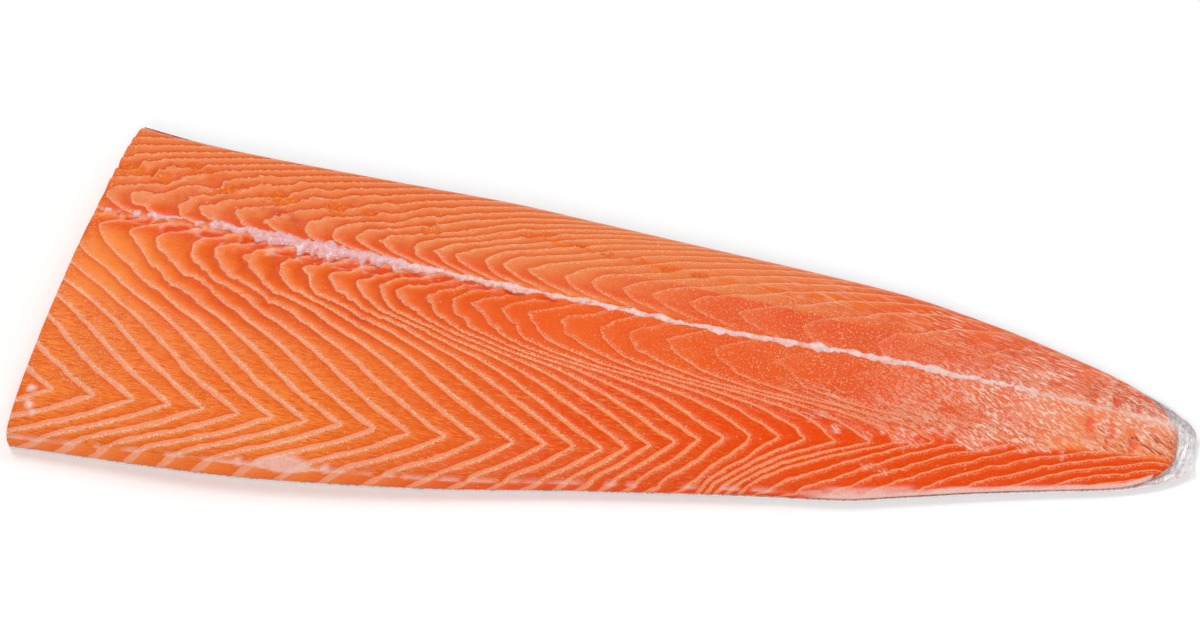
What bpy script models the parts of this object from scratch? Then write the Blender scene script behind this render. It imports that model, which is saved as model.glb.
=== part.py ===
"""Raw salmon fillet: the tail half of a trimmed side, lying on its skin with the cut flesh up.

The head end is cut straight across with a knife, the belly edge is a low cut wall, and the skin
wraps round the thick back edge and runs past the flesh at the tail.

Sizes are in millimetres and become metres where the vertices are placed. In the fillet's own plan,
x runs from the head cut to the tail tip, y from the belly edge (negative) over the pale midline
(zero) to the back edge, and z up from the surface that the skin lies on. The model's origin is at
the middle of the underside.
"""
import bmesh
import bpy
import numpy as np
from mathutils import Vector

MM = 0.001

# Plan of the skin: edges as (x, y) knots, and the line that the rounded tail closes on
LENGTH = 371.5
BACK_EDGE = ((-20, 45), (0, 43.2), (20, 40.9), (45, 39.3), (99, 38.5), (133, 38.3), (169, 36.5),
             (203, 34.8), (237, 33.4), (270, 31.4), (305, 25.6), (338, 17.4), (375, 11))
BELLY_EDGE = ((-20, -84), (0, -83), (63, -80), (127, -72), (189, -60.3), (251, -49.8), (282, -42.5),
              (313, -34.5), (343, -27.5), (375, -22))
TAIL_LINE = ((-20, 0), (300, -3), (340, -4), (375, -4))
SKIN_ROUND_FROM = 335.0
ROUND_POWER = 2.5
BLUNTNESS = 0.96

# The knife cut at the head end runs slightly askew: its x at the belly edge is 0
CUT_SLANT = 8.0

# Heights above the surface, as (x, z) knots
THICKNESS = ((-20, 21), (0, 21), (60, 22), (130, 20.5), (200, 18), (260, 14), (310, 9.5), (350, 6),
             (375, 3.4))
BELLY_WALL = ((-20, 6), (0, 6), (60, 9), (100, 8), (150, 5.4), (200, 4.4), (300, 3.4), (375, 2.9))
BACK_RIM = ((-20, 12.7), (0, 12.7), (60, 11), (150, 10), (250, 7), (330, 4), (375, 2.5))
BACK_ROUNDNESS = 2.0
BELLY_ROUNDNESS = 1.9

# Skin under the flesh
SKIN = 1.2
GAP = 0.35
BACK_WRAP_REACH = 1.3
BACK_WRAP_DEGREES = (0.0, 22.5, 45.0, 67.5, 90.0)
BELLY_CURL = ((-20, 0), (190, 0), (250, 1.2), (300, 1.8), (330, 1.4), (375, 1.0))
BELLY_CURL_REACH = 5.0
BELLY_CURL_SPANS = 3
SKIN_FLAT_SPANS = 5
SKIN_STATION = 11.0
SKIN_TAIL_STATION = 3.2
SKIN_TAIL_FROM = 330.0
TAIL_LIFT_FROM = 358.0
TAIL_LIFT = 1.3
TAIL_RIPPLE = 0.45
TAIL_RIPPLE_PITCH = 7.0

# Flesh plan: it stops short of the skin at the tail and stands back from the curled belly rim
FLESH_END = 361.0
FLESH_ROUND_FROM = 346.0
FLESH_BLUNTNESS = 0.9
BELLY_INSET = ((-20, 0.3), (190, 0.3), (250, 1.6), (375, 1.6))
FOOT_RISE = 0.6

# Septa are the fat lines between the flakes. Each is numbered from the head cut, and its place is
# where its V points at the tail, given here as (number, x)
SEPTUM_APEX = ((-8, -93), (0, 11), (2, 38), (3, 50), (9, 116), (15, 179), (21, 224), (27, 278), (31, 320),
               (48, 490))
FIRST_SEPTUM = -2
LAST_SEPTUM = 45
COLUMNS_PER_FLAKE = 3

# Course of a septum across the belly half, at four places along the fillet: apex x, then its
# (share of the way from midline to belly edge, x behind the apex) knots
BELLY_COURSES = (
    (100, ((0, -74), (0.07, -86), (0.18, -79), (0.30, -64), (0.50, -37),
           (0.69, -17), (0.82, 0), (0.90, -14), (1.0, -40))),
    (190, ((0, -70), (0.14, -91), (0.24, -83), (0.34, -63), (0.45, -43),
           (0.64, -21), (0.85, 0), (0.93, -7), (1.0, -17))),
    (235, ((0, -66), (0.15, -87), (0.28, -78), (0.38, -60), (0.44, -38),
           (0.54, -16), (0.70, 0), (0.84, -6), (1.0, -17))),
    (280, ((0, -60), (0.17, -79), (0.30, -70), (0.40, -48), (0.45, -24),
           (0.52, -8), (0.64, 0), (0.78, -24), (1.0, -45))),
)
APEX_KNOT = 6
# The courses draw in toward the narrow tail: share of their reach, by apex x
COURSE_REACH = ((0, 1), (270, 1), (355, 0.25), (490, 0.25))
# Course across the back half, as (share of the way to the back edge, x beyond the midline point)
BACK_COURSE = ((0, 0), (0.09, -10), (0.18, -14), (0.27, -10), (0.45, 7), (0.6, 19), (0.8, 40), (1.0, 62))

# Rows of the top surface: on the belly half as shares of the way to the apex, then on past it
BELLY_ROWS = (0.04, 0.10, 0.19, 0.28, 0.37, 0.46, 0.55, 0.64, 0.73, 0.82, 0.91, 1.0)
FLAP_ROWS = (0.33, 0.66, 1.0)
BACK_ROWS = (0.06, 0.15, 0.24, 0.33, 0.43, 0.54, 0.65, 0.76, 0.86, 0.94, 1.0)

# Relief of the cut surface
GROOVE_DEPTH = 0.55
SHINGLE_STEP = 0.7
SHINGLES_END = 150.0
FULL_RELIEF_ABOVE = 5.0
MIDLINE_FURROW = ((0, 0.8), (200, 0.6), (300, 0.3), (345, 0))
MIDLINE_FURROW_WIDTH = 6.0
RIBBON_HEIGHT = ((0, 0.5), (50, 0.9), (100, 1.4), (200, 1.0), (330, 0.7), (350, 0))
RIBBON_HALF_WIDTH = ((0, 3.2), (100, 3.6), (200, 2.4), (370, 1.4))
POCKET_DEPTH = 0.9
POCKET_Y = -6.5
POCKET_WIDTH = 2.6
POCKETS_END = 165.0
PIT_X = (14, 21, 45, 64, 83, 95, 115, 148, 155, 165, 174, 185, 195, 206)
PIT_Y = ((0, 18.5), (115, 16.5), (155, 22), (206, 21.7))
PIT_DEPTH = 0.9
PIT_RADIUS = 3.2

# Vertices this near to a knife cut are moved onto it, so that the cut leaves no slivers
SNAP = 0.4
SHARP_ANGLE = 35.0
COLLECTION_NAME = "raw_salmon_fillet"


def curve(knots, at):
    """Smooth curve through a few knots that never swings past them (monotone cubic)."""
    xs, ys = np.array(knots, float).T
    span = np.diff(xs)
    rise = np.diff(ys) / span
    slope = np.zeros_like(ys)
    before, after = 2 * span[1:] + span[:-1], span[1:] + 2 * span[:-1]
    with np.errstate(divide="ignore", invalid="ignore"):
        mean = (before + after) / (before / rise[:-1] + after / rise[1:])
    slope[1:-1] = np.where(rise[:-1] * rise[1:] > 0, mean, 0)
    slope[0], slope[-1] = rise[0], rise[-1]
    at = np.clip(at, xs[0], xs[-1])
    i = np.clip(np.searchsorted(xs, at, side="right") - 1, 0, len(span) - 1)
    t = (at - xs[i]) / span[i]
    start = (1 + 2 * t) * (1 - t) ** 2 * ys[i] + t * (1 - t) ** 2 * span[i] * slope[i]
    return start + t * t * (3 - 2 * t) * ys[i + 1] + t * t * (t - 1) * span[i] * slope[i + 1]


def smooth_step(low, high, value):
    """Goes smoothly from 0 at low to 1 at high."""
    t = np.clip((value - low) / (high - low), 0, 1)
    return t * t * (3 - 2 * t)


def rounding(x, start, end, bluntness):
    """Share of the full width that is left where the tail rounds off, as on a flattened ellipse."""
    t = bluntness * np.clip((x - start) / (end - start), 0, 1)
    return (1 - t ** ROUND_POWER) ** (1 / ROUND_POWER)


def skin_edges(x):
    """Y of the skin's belly edge and back edge at x."""
    share = rounding(x, SKIN_ROUND_FROM, LENGTH, BLUNTNESS)
    tail = curve(TAIL_LINE, x)
    belly = tail + (curve(BELLY_EDGE, x) - tail) * share
    back = tail + (curve(BACK_EDGE, x) - tail) * share
    return belly, back


def flesh_edges(x):
    """Y of the flesh's belly edge and back edge at x, inside the skin."""
    share = rounding(x, FLESH_ROUND_FROM, FLESH_END, FLESH_BLUNTNESS)
    tail = curve(TAIL_LINE, x)
    skin_belly, skin_back = skin_edges(x)
    belly = tail + (skin_belly + curve(BELLY_INSET, x) - tail) * share
    back = tail + (skin_back - SKIN - GAP - tail) * share
    return belly, back


def cut_x(y):
    """X of the head cut at y."""
    belly, back = BELLY_EDGE[1][1], BACK_EDGE[1][1]
    return CUT_SLANT * (y - belly) / (back - belly)


def belly_course(apex):
    """Knots of a septum on the belly half, blended between the places where they are given."""
    places = [place for place, knots in BELLY_COURSES]
    courses = np.array([knots for place, knots in BELLY_COURSES], float)
    blended = [[np.interp(apex, places, courses[:, knot, part]) for part in (0, 1)]
               for knot in range(courses.shape[1])]
    return np.array(blended) * (1, curve(COURSE_REACH, apex))


def septum_x(apex, share):
    """X of the septum with this apex at one share: -1 belly edge, 0 midline, 1 back edge."""
    knots = belly_course(apex)
    if share >= 0:
        return apex + knots[0, 1] + float(curve(BACK_COURSE, share) * curve(COURSE_REACH, apex))
    if -share < knots[APEX_KNOT, 0]:
        return apex + float(curve(knots[:APEX_KNOT + 1], -share))
    return apex + float(curve(knots[APEX_KNOT:], -share))


def smooth_top(x, y):
    """Height of the cut surface before its relief."""
    belly, back = flesh_edges(x)
    middle, wall, rim = curve(THICKNESS, x), curve(BELLY_WALL, x), curve(BACK_RIM, x)
    toward_back = np.clip(y / back, 0, 1)
    toward_belly = np.clip(y / belly, 0, 1)
    back_share = (1 - toward_back ** BACK_ROUNDNESS) ** (1 / BACK_ROUNDNESS)
    belly_share = (1 - toward_belly ** BELLY_ROUNDNESS) ** (1 / BELLY_ROUNDNESS)
    return np.where(y > 0, rim + (middle - rim) * back_share, wall + (middle - wall) * belly_share)


def midline_relief(x, y):
    """Furrow along the middle with the raised pale ribbon lying in it."""
    furrow = -curve(MIDLINE_FURROW, x) * np.exp(-(y / MIDLINE_FURROW_WIDTH) ** 2)
    ribbon = curve(RIBBON_HEIGHT, x) * (np.abs(y) < curve(RIBBON_HALF_WIDTH, x))
    return furrow + ribbon


def flake_relief(number, x, share):
    """Grooves at the septa, and on the back half flakes whose raised head-side edge overlaps the last."""
    phase = number - np.floor(number)
    groove = GROOVE_DEPTH * (4 * phase * (1 - phase) - 1)
    shingle = -SHINGLE_STEP * phase
    on_back = smooth_step(0.06, 0.2, share) * (1 - smooth_step(0.6, SHINGLES_END, x) * 0.7)
    return groove * (1 - on_back) + shingle * on_back


def pocket_relief(number, x, y):
    """One small pocket a flake, just under the midline ribbon."""
    phase = number - np.floor(number)
    along = np.sin(np.pi * phase) ** 2
    across = np.exp(-((y - POCKET_Y) / POCKET_WIDTH) ** 2)
    return -POCKET_DEPTH * along * across * (1 - smooth_step(POCKETS_END - 20, POCKETS_END, x))


def pit_relief(x, y):
    """Row of shallow pits along the back half."""
    depth = np.zeros_like(x)
    for pit in PIT_X:
        pit_y = curve(PIT_Y, pit)
        distance = np.hypot((x - pit) / (1.4 * PIT_RADIUS), (y - pit_y) / PIT_RADIUS)
        depth = np.maximum(depth, np.exp(-distance ** 2))
    return -PIT_DEPTH * depth


def top_row(numbers, shares):
    """Points of one row of the top surface, one for each column."""
    apexes = curve(SEPTUM_APEX, numbers)
    x = np.array([septum_x(apex, share) for apex, share in zip(apexes, shares)])
    belly, back = flesh_edges(x)
    y = np.where(shares < 0, -shares * belly, shares * back)
    relief = flake_relief(numbers, x, shares) + midline_relief(x, y)
    relief += pocket_relief(numbers, x, y) + pit_relief(x, y)
    top = smooth_top(x, y)
    fade = 1 - smooth_step(0.85, 1.0, np.abs(shares)) * np.where(shares > 0, 1.0, 0.6)
    fade *= smooth_step(SKIN + GAP, FULL_RELIEF_ABOVE, top)
    return np.stack([x, y, top + relief * fade], axis=-1)


def back_wrap(x, degrees, inside):
    """Y and z of a point on the skin's turn up the back edge, moved in from the outer face."""
    belly, back = skin_edges(x)
    rim = curve(BACK_RIM, x)
    reach = BACK_WRAP_REACH * rim
    cosine, sine = np.cos(np.radians(degrees)), np.sin(np.radians(degrees))
    normal_y, normal_z = cosine / reach, -sine / rim
    length = np.hypot(normal_y, normal_z)
    y = back - reach + reach * cosine - inside * normal_y / length
    return y, rim - rim * sine - inside * normal_z / length


def top_rows(numbers):
    """Rows of the top surface, from the belly edge over the midline to the back edge."""
    apex_shares = np.array([belly_course(apex)[APEX_KNOT, 0] for apex in curve(SEPTUM_APEX, numbers)])
    flap = [-(apex_shares + share * (1 - apex_shares)) for share in reversed(FLAP_ROWS)]
    belly = [-share * apex_shares for share in reversed(BELLY_ROWS)]
    back = [np.full_like(numbers, share) for share in BACK_ROWS]
    return [top_row(numbers, shares) for shares in flap + belly + back]


def underside_rows(back_rim, belly_rim):
    """Rows of the underside, from the back rim down its round edge to the foot of the belly wall."""
    floor = SKIN + GAP
    x, rim_y = back_rim[:, 0], back_rim[:, 1]
    tail_share = rim_y / back_wrap(x, 0.0, floor)[0]
    rows = []
    for degrees in BACK_WRAP_DEGREES[1:]:
        y, z = back_wrap(x, degrees, floor)
        rows.append(np.stack([x, y * tail_share, np.maximum(z, floor)], axis=-1))
    x, wall_y = belly_rim[:, 0], belly_rim[:, 1]
    rows.append(np.stack([x, wall_y + BELLY_CURL_REACH, np.full_like(x, floor)], axis=-1))
    rows.append(np.stack([x, wall_y, floor + FOOT_RISE * curve(BELLY_CURL, x)], axis=-1))
    return rows


def in_model(points):
    """From the fillet's plan in millimetres to the model's frame in metres."""
    belly_corner = BELLY_EDGE[1][1]
    back_corner = float(skin_edges(CUT_SLANT)[1])
    middle = (LENGTH / 2, (belly_corner + back_corner) / 2, 0)
    return (np.asarray(points) - middle) * MM


def grid_through(rows):
    """A bmesh grid laid through rows of points, which all have the same number of points."""
    grid = np.array(rows)
    spans, steps = grid.shape[0] - 1, grid.shape[1] - 1
    mesh = bmesh.new()
    bmesh.ops.create_grid(mesh, x_segments=steps, y_segments=spans, size=0.5)
    placed = in_model(grid)
    for vertex in mesh.verts:
        column = round((vertex.co.x + 0.5) * steps)
        row = round((vertex.co.y + 0.5) * spans)
        vertex.co = Vector(placed[row, column])
    return mesh


def cut_across(mesh, point, normal):
    """Cut a closed mesh with a plane, drop what lies on the normal's side, and close the face."""
    point = Vector(in_model(point))
    normal = Vector(normal).normalized()
    for vertex in mesh.verts:
        distance = (vertex.co - point).dot(normal)
        if abs(distance) < SNAP * MM:
            vertex.co -= normal * distance
    parts = mesh.verts[:] + mesh.edges[:] + mesh.faces[:]
    bmesh.ops.bisect_plane(mesh, geom=parts, dist=0.000001, plane_co=point, plane_no=normal, clear_outer=True)
    open_edges = [edge for edge in mesh.edges if edge.is_boundary]
    bmesh.ops.holes_fill(mesh, edges=open_edges, sides=0)


def linear(shade):
    """Linear colour of a hex sRGB shade."""
    parts = [int(shade[i:i + 2], 16) / 255 for i in (0, 2, 4)]
    return [part / 12.92 if part <= 0.04045 else ((part + 0.055) / 1.055) ** 2.4 for part in parts]


def material(name, shade, roughness):
    """A plain surface finish."""
    made = bpy.data.materials.new(name)
    made.use_nodes = True
    shader = made.node_tree.nodes["Principled BSDF"]
    shader.inputs["Base Color"].default_value = (*linear(shade), 1)
    shader.inputs["Roughness"].default_value = roughness
    shader.inputs["Metallic"].default_value = 0.0
    return made


def add_object(name, mesh, finish, collection):
    """Turn a bmesh into a smooth shaded object with its finish."""
    bmesh.ops.recalc_face_normals(mesh, faces=mesh.faces[:])
    data = bpy.data.meshes.new(name)
    mesh.to_mesh(data)
    mesh.free()
    data.shade_smooth()
    data.set_sharp_from_angle(angle=np.radians(SHARP_ANGLE))
    data.materials.append(finish)
    made = bpy.data.objects.new(name, data)
    collection.objects.link(made)
    return made


def build_flesh(collection):
    """The flesh: a tube whose columns follow the septa, cut off at the head and at the tail."""
    columns = (LAST_SEPTUM - FIRST_SEPTUM) * COLUMNS_PER_FLAKE + 1
    numbers = np.linspace(FIRST_SEPTUM, LAST_SEPTUM, columns)
    rows = top_rows(numbers)
    rows += underside_rows(back_rim=rows[-1], belly_rim=rows[0])
    mesh = grid_through(rows + [rows[0]])
    bmesh.ops.remove_doubles(mesh, verts=mesh.verts[:], dist=0.000001)
    knife = Vector((BACK_EDGE[1][1] - BELLY_EDGE[1][1], -CUT_SLANT, 0))
    cut_across(mesh, (0, BELLY_EDGE[1][1], 0), -knife)
    cut_across(mesh, (FLESH_END, 0, 0), (1, 0, 0))
    return add_object("flesh", mesh, material("raw_salmon_flesh", "F08250", 0.35), collection)


def skin_station_rows():
    """Sections of the skin's outer face, from the back rim under the flesh to the belly rim."""
    body = np.linspace(0, SKIN_TAIL_FROM, round(SKIN_TAIL_FROM / SKIN_STATION) + 1)
    tail_span = LENGTH - SKIN_TAIL_FROM
    tail = np.linspace(SKIN_TAIL_FROM, LENGTH, round(tail_span / SKIN_TAIL_STATION) + 1)
    return [skin_section(x) for x in np.concatenate([body, tail[1:]])]


def skin_section(x):
    """Points of the skin's outer face at one station, which slants with the head cut near x 0."""
    belly, back = skin_edges(np.array([x]))
    points = [[float(part) for part in back_wrap(x, degrees, 0)] for degrees in BACK_WRAP_DEGREES]
    curl = float(curve(BELLY_CURL, x))
    turns = np.linspace(0, 1, BELLY_CURL_SPANS + 1)
    curled = [[float(belly[0]) + BELLY_CURL_REACH * (1 - turn), curl * turn ** 2] for turn in turns]
    flat_from, flat_to = points[-1][0], curled[0][0]
    for span in range(1, SKIN_FLAT_SPANS):
        points.append([flat_from + (flat_to - flat_from) * span / SKIN_FLAT_SPANS, 0.0])
    points += curled
    slant = 1 - smooth_step(0, 0.5 * LENGTH, x)
    lift = TAIL_LIFT * float(smooth_step(TAIL_LIFT_FROM, LENGTH, x))
    ripple = TAIL_RIPPLE * float(smooth_step(TAIL_LIFT_FROM, LENGTH, x))
    return [(x + slant * cut_x(y), y, z + lift + ripple * (1 + np.sin(2 * np.pi * y / TAIL_RIPPLE_PITCH)))
            for y, z in points]


def build_skin(collection):
    """The skin: a thin tray under the flesh, flat below, turned up at the back and the belly rim."""
    mesh = grid_through(skin_station_rows())
    skin = add_object("skin", mesh, material("salmon_skin", "8E8F8C", 0.3), collection)
    if skin.data.polygons[0].normal.y < 0:
        skin.data.flip_normals()
    shell = skin.modifiers.new("thickness", "SOLIDIFY")
    shell.thickness = SKIN * MM
    shell.offset = -1
    shell.use_even_offset = True
    return skin


def main():
    """Clear the scene and build the fillet."""
    for old in list(bpy.data.objects):
        bpy.data.objects.remove(old, do_unlink=True)
    collection = bpy.data.collections.new(COLLECTION_NAME)
    bpy.context.scene.collection.children.link(collection)
    build_flesh(collection)
    build_skin(collection)


main()
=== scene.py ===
"""Looks of a raw salmon fillet: the tail half of a side, lying on its skin with the cut flesh up.

The fillet is laid out in its own plan, in millimetres: x runs from the head cut to the tail tip, y
from the belly edge (negative) over the pale midline (zero) to the back edge, and z up from the
surface that the skin lies on. FilletPlan holds the dimensions that the solids have, and turns
plan places into the frame's metres.
"""
import logging
from dataclasses import dataclass
from enum import IntEnum

import bmesh
import bpy
import numpy as np
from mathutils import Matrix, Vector

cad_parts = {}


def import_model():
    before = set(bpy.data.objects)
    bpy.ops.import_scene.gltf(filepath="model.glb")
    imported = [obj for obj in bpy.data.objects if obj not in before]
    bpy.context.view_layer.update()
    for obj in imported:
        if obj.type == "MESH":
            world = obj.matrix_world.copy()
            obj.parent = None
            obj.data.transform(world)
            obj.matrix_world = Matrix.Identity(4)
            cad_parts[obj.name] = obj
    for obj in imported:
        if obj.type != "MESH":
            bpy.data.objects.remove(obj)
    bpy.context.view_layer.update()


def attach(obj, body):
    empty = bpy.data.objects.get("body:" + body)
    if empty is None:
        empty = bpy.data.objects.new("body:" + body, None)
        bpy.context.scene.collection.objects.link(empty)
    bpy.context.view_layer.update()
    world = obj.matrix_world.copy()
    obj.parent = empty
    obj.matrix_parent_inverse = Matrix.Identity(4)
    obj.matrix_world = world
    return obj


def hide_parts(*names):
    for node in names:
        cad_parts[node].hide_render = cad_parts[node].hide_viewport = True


MM = 0.001
LOG = logging.getLogger("fillet")

Array = np.ndarray
Knots = tuple[tuple[float, float], ...]
Socket = bpy.types.NodeSocket


class Face(IntEnum):
    """Faces of a piece, each with its own finish: the long surface and the knife-cut ends."""

    SURFACE = 0
    CUT = 1


def smooth_curve(xs: Array, ys: Array, at: Array) -> Array:
    """Read a monotone cubic curve that never swings past its knots.

    Args:
        xs: Knot places, as one list for all points or one column for each.
        ys: Knot values, laid out as the places are.
        at: Places to read.

    Returns:
        One value for each place.
    """
    at = np.asarray(at, float)
    flat = at.ravel()
    count = len(xs)
    xs = np.broadcast_to(np.asarray(xs, float).reshape(count, -1), (count, flat.size))
    ys = np.broadcast_to(np.asarray(ys, float).reshape(count, -1), (count, flat.size))
    span = np.diff(xs, axis=0)
    rise = np.diff(ys, axis=0) / span
    slope = np.zeros_like(ys)
    before, after = 2 * span[1:] + span[:-1], span[1:] + 2 * span[:-1]
    with np.errstate(divide="ignore", invalid="ignore"):
        mean = (before + after) / (before / rise[:-1] + after / rise[1:])
    slope[1:-1] = np.where(rise[:-1] * rise[1:] > 0, mean, 0)
    slope[0], slope[-1] = rise[0], rise[-1]
    flat = np.clip(flat, xs[0], xs[-1])
    i = np.clip((flat >= xs).sum(axis=0) - 1, 0, count - 2)
    column = np.arange(flat.size)
    width = span[i, column]
    t = (flat - xs[i, column]) / width
    start = (1 + 2 * t) * (1 - t) ** 2 * ys[i, column] + t * (1 - t) ** 2 * width * slope[i, column]
    end = t * t * (3 - 2 * t) * ys[i + 1, column] + t * t * (t - 1) * width * slope[i + 1, column]
    return (start + end).reshape(at.shape)


def curve(knots: Knots, at: Array) -> Array:
    """Read the smooth curve through (place, value) knots at each place."""
    table = np.asarray(knots, float)
    return smooth_curve(table[:, 0], table[:, 1], at)


def smooth_step(low: float, high: float, value: Array) -> Array:
    """Go smoothly from 0 at low to 1 at high."""
    t = np.clip((value - low) / (high - low), 0, 1)
    return t * t * (3 - 2 * t)


def band(low: float, full: float, last: float, end: float, value: Array) -> Array:
    """Rise smoothly from 0 at low to 1 at full, and fall from 1 at last to 0 at end."""
    return smooth_step(low, full, value) * (1 - smooth_step(last, end, value))


def soft_noise(x: Array, y: Array, pitch: float, seed: int) -> Array:
    """Smooth seeded noise over a plane.

    Args:
        x: Places along the first axis.
        y: Places along the second axis.
        pitch: Distance between the noise's lattice points, in the unit of x and y.
        seed: Seed of the lattice.

    Returns:
        Values from -1 to 1.
    """
    table = np.random.default_rng(seed).uniform(-1, 1, (256, 256))
    u, v = x / pitch, y / pitch
    i, j = np.floor(u).astype(int), np.floor(v).astype(int)
    s, t = u - i, v - j
    s, t = s * s * (3 - 2 * s), t * t * (3 - 2 * t)
    low = table[i % 256, j % 256] * (1 - s) + table[(i + 1) % 256, j % 256] * s
    high = table[i % 256, (j + 1) % 256] * (1 - s) + table[(i + 1) % 256, (j + 1) % 256] * s
    return low * (1 - t) + high * t


@dataclass(frozen=True)
class FilletPlan:
    """Edges, heights and flakes of the fillet in millimetres, as the solids have them."""

    length: float = 371.5
    back_edge: Knots = ((-20, 45), (0, 43.2), (20, 40.9), (45, 39.3), (99, 38.5), (133, 38.3),
                        (169, 36.5), (203, 34.8), (237, 33.4), (270, 31.4), (305, 25.6), (338, 17.0),
                        (352, 12.9), (375, 8.5))
    belly_edge: Knots = ((-20, -84), (0, -83), (63, -80), (127, -72), (189, -60.3), (240, -52.0),
                         (252, -50.4), (266, -48.2), (282, -43.9), (313, -35.4), (343, -28.1),
                         (375, -22.4))
    tail_line: Knots = ((-20, 0), (300, -3), (340, -5), (375, -8))
    skin_round_from: float = 335.0
    round_power: float = 2.5
    bluntness: float = 0.96
    cut_slant: float = 8.0
    thickness: Knots = ((-20, 21), (0, 21), (60, 22), (130, 20.5), (200, 18), (260, 14), (310, 9.5),
                        (350, 6), (375, 3.4))
    belly_wall: Knots = ((-20, 6), (0, 6), (60, 9), (100, 8), (150, 5.4), (200, 4.4), (300, 3.4),
                         (375, 2.9))
    back_rim: Knots = ((-20, 12.7), (0, 12.7), (60, 11), (150, 10), (250, 7), (330, 4), (375, 2.5))
    back_roundness: float = 2.0
    belly_roundness: float = 1.9
    skin: float = 0.6
    lip: Knots = ((0, 0.55), (20, 0.55), (45, 0.12), (375, 0.12))
    back_wrap_reach: float = 1.3
    belly_curl: Knots = ((-20, 0), (190, 0), (250, 1.2), (300, 1.8), (330, 1.4), (375, 1.0))
    belly_curl_reach: float = 5.0
    flesh_end: float = 366.0
    flesh_round_from: float = 348.0
    flesh_bluntness: float = 0.985
    belly_inset: Knots = ((-20, 0.3), (190, 0.3), (250, 0.8), (375, 0.8))
    foot_rise: float = 0.75
    septum_apex: Knots = ((-8, -93), (0, 11), (2, 38), (3, 50), (9, 116), (15, 179), (21, 224),
                          (27, 278), (29, 300), (31, 327), (35, 382), (48, 560))
    belly_courses: tuple[tuple[float, Knots], ...] = (
        (100, ((0, -74), (0.07, -86), (0.18, -79), (0.30, -64), (0.50, -37),
               (0.69, -17), (0.82, 0), (0.90, -14), (1.0, -40))),
        (190, ((0, -70), (0.14, -91), (0.24, -83), (0.34, -63), (0.45, -43),
               (0.64, -21), (0.85, 0), (0.93, -7), (1.0, -17))),
        (235, ((0, -66), (0.15, -87), (0.28, -78), (0.38, -60), (0.44, -38),
               (0.54, -16), (0.70, 0), (0.84, -6), (1.0, -17))),
        (280, ((0, -60), (0.17, -79), (0.30, -70), (0.40, -48), (0.45, -24),
               (0.52, -8), (0.64, 0), (0.78, -22), (1.0, -46))),
        (325, ((0, -60), (0.17, -79), (0.30, -70), (0.38, -48), (0.43, -24),
               (0.49, -8), (0.57, 0), (0.78, -27), (1.0, -55))),
    )
    apex_knot: int = 6
    course_reach: Knots = ((0, 1), (270, 1), (355, 0.3), (560, 0.3))
    back_course: Knots = ((0, 0), (0.09, -10), (0.18, -14), (0.27, -10), (0.45, 7), (0.6, 19),
                          (0.8, 40), (1.0, 62))
    back_knot: int = 2
    turn_knot: int = 1
    keen_turns: tuple[float, float] = (90.0, 190.0)

    def rounding(self, x: Array, start: float, end: float, bluntness: float) -> Array:
        """Share of the full width left at x, where the tail rounds off from start to end."""
        t = bluntness * np.clip((x - start) / (end - start), 0, 1)
        return (1 - t ** self.round_power) ** (1 / self.round_power)

    def skin_edges(self, x: Array) -> tuple[Array, Array]:
        """Y of the skin's belly edge and back edge at x.

        Args:
            x: X of each place.

        Returns:
            Y of the belly edge and of the back edge.
        """
        share = self.rounding(x, self.skin_round_from, self.length, self.bluntness)
        tail = curve(self.tail_line, x)
        belly = tail + (curve(self.belly_edge, x) - tail) * share
        back = tail + (curve(self.back_edge, x) - tail) * share
        return belly, back

    def flesh_edges(self, x: Array) -> tuple[Array, Array]:
        """Y of the flesh's belly edge and back edge at x, inside the skin.

        Args:
            x: X of each place.

        Returns:
            Y of the belly edge and of the back edge.
        """
        share = self.rounding(x, self.flesh_round_from, self.flesh_end, self.flesh_bluntness)
        tail = curve(self.tail_line, x)
        skin_belly, skin_back = self.skin_edges(x)
        belly = tail + (skin_belly + curve(self.belly_inset, x) - tail) * share
        back = tail + (skin_back - curve(self.lip, x) - tail) * share
        return belly, back

    def cut_x(self, y: Array) -> Array:
        """X of the head cut at y."""
        belly, back = self.belly_edge[1][1], self.back_edge[1][1]
        return self.cut_slant * (y - belly) / (back - belly)

    def smooth_top(self, x: Array, y: Array) -> Array:
        """Height of the cut surface before its relief.

        Args:
            x: X of each place.
            y: Y of each place.

        Returns:
            Height at each place.
        """
        belly, back = self.flesh_edges(x)
        middle, wall = curve(self.thickness, x), curve(self.belly_wall, x)
        rim = curve(self.back_rim, x)
        toward_back = np.clip(y / back, 0, 1)
        toward_belly = np.clip(y / belly, 0, 1)
        back_share = (1 - toward_back ** self.back_roundness) ** (1 / self.back_roundness)
        belly_share = (1 - toward_belly ** self.belly_roundness) ** (1 / self.belly_roundness)
        on_back = rim + (middle - rim) * back_share
        on_belly = wall + (middle - wall) * belly_share
        return np.where(y > 0, on_back, on_belly)

    def back_wrap(self, x: Array, degrees: float, inside: float) -> tuple[Array, Array]:
        """Y and z of the skin's turn up the back edge, moved in from its outer face.

        Args:
            x: X of each place.
            degrees: How far down round the turn, 0 at the rim's top and 90 underneath.
            inside: Distance in from the outer face.

        Returns:
            Y and z.
        """
        back = self.skin_edges(x)[1]
        rim = curve(self.back_rim, x)
        reach = self.back_wrap_reach * rim
        cosine, sine = np.cos(np.radians(degrees)), np.sin(np.radians(degrees))
        normal_y, normal_z = cosine / reach, -sine / rim
        length = np.hypot(normal_y, normal_z)
        y = back - reach + reach * cosine - inside * normal_y / length
        return y, rim - rim * sine - inside * normal_z / length

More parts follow.
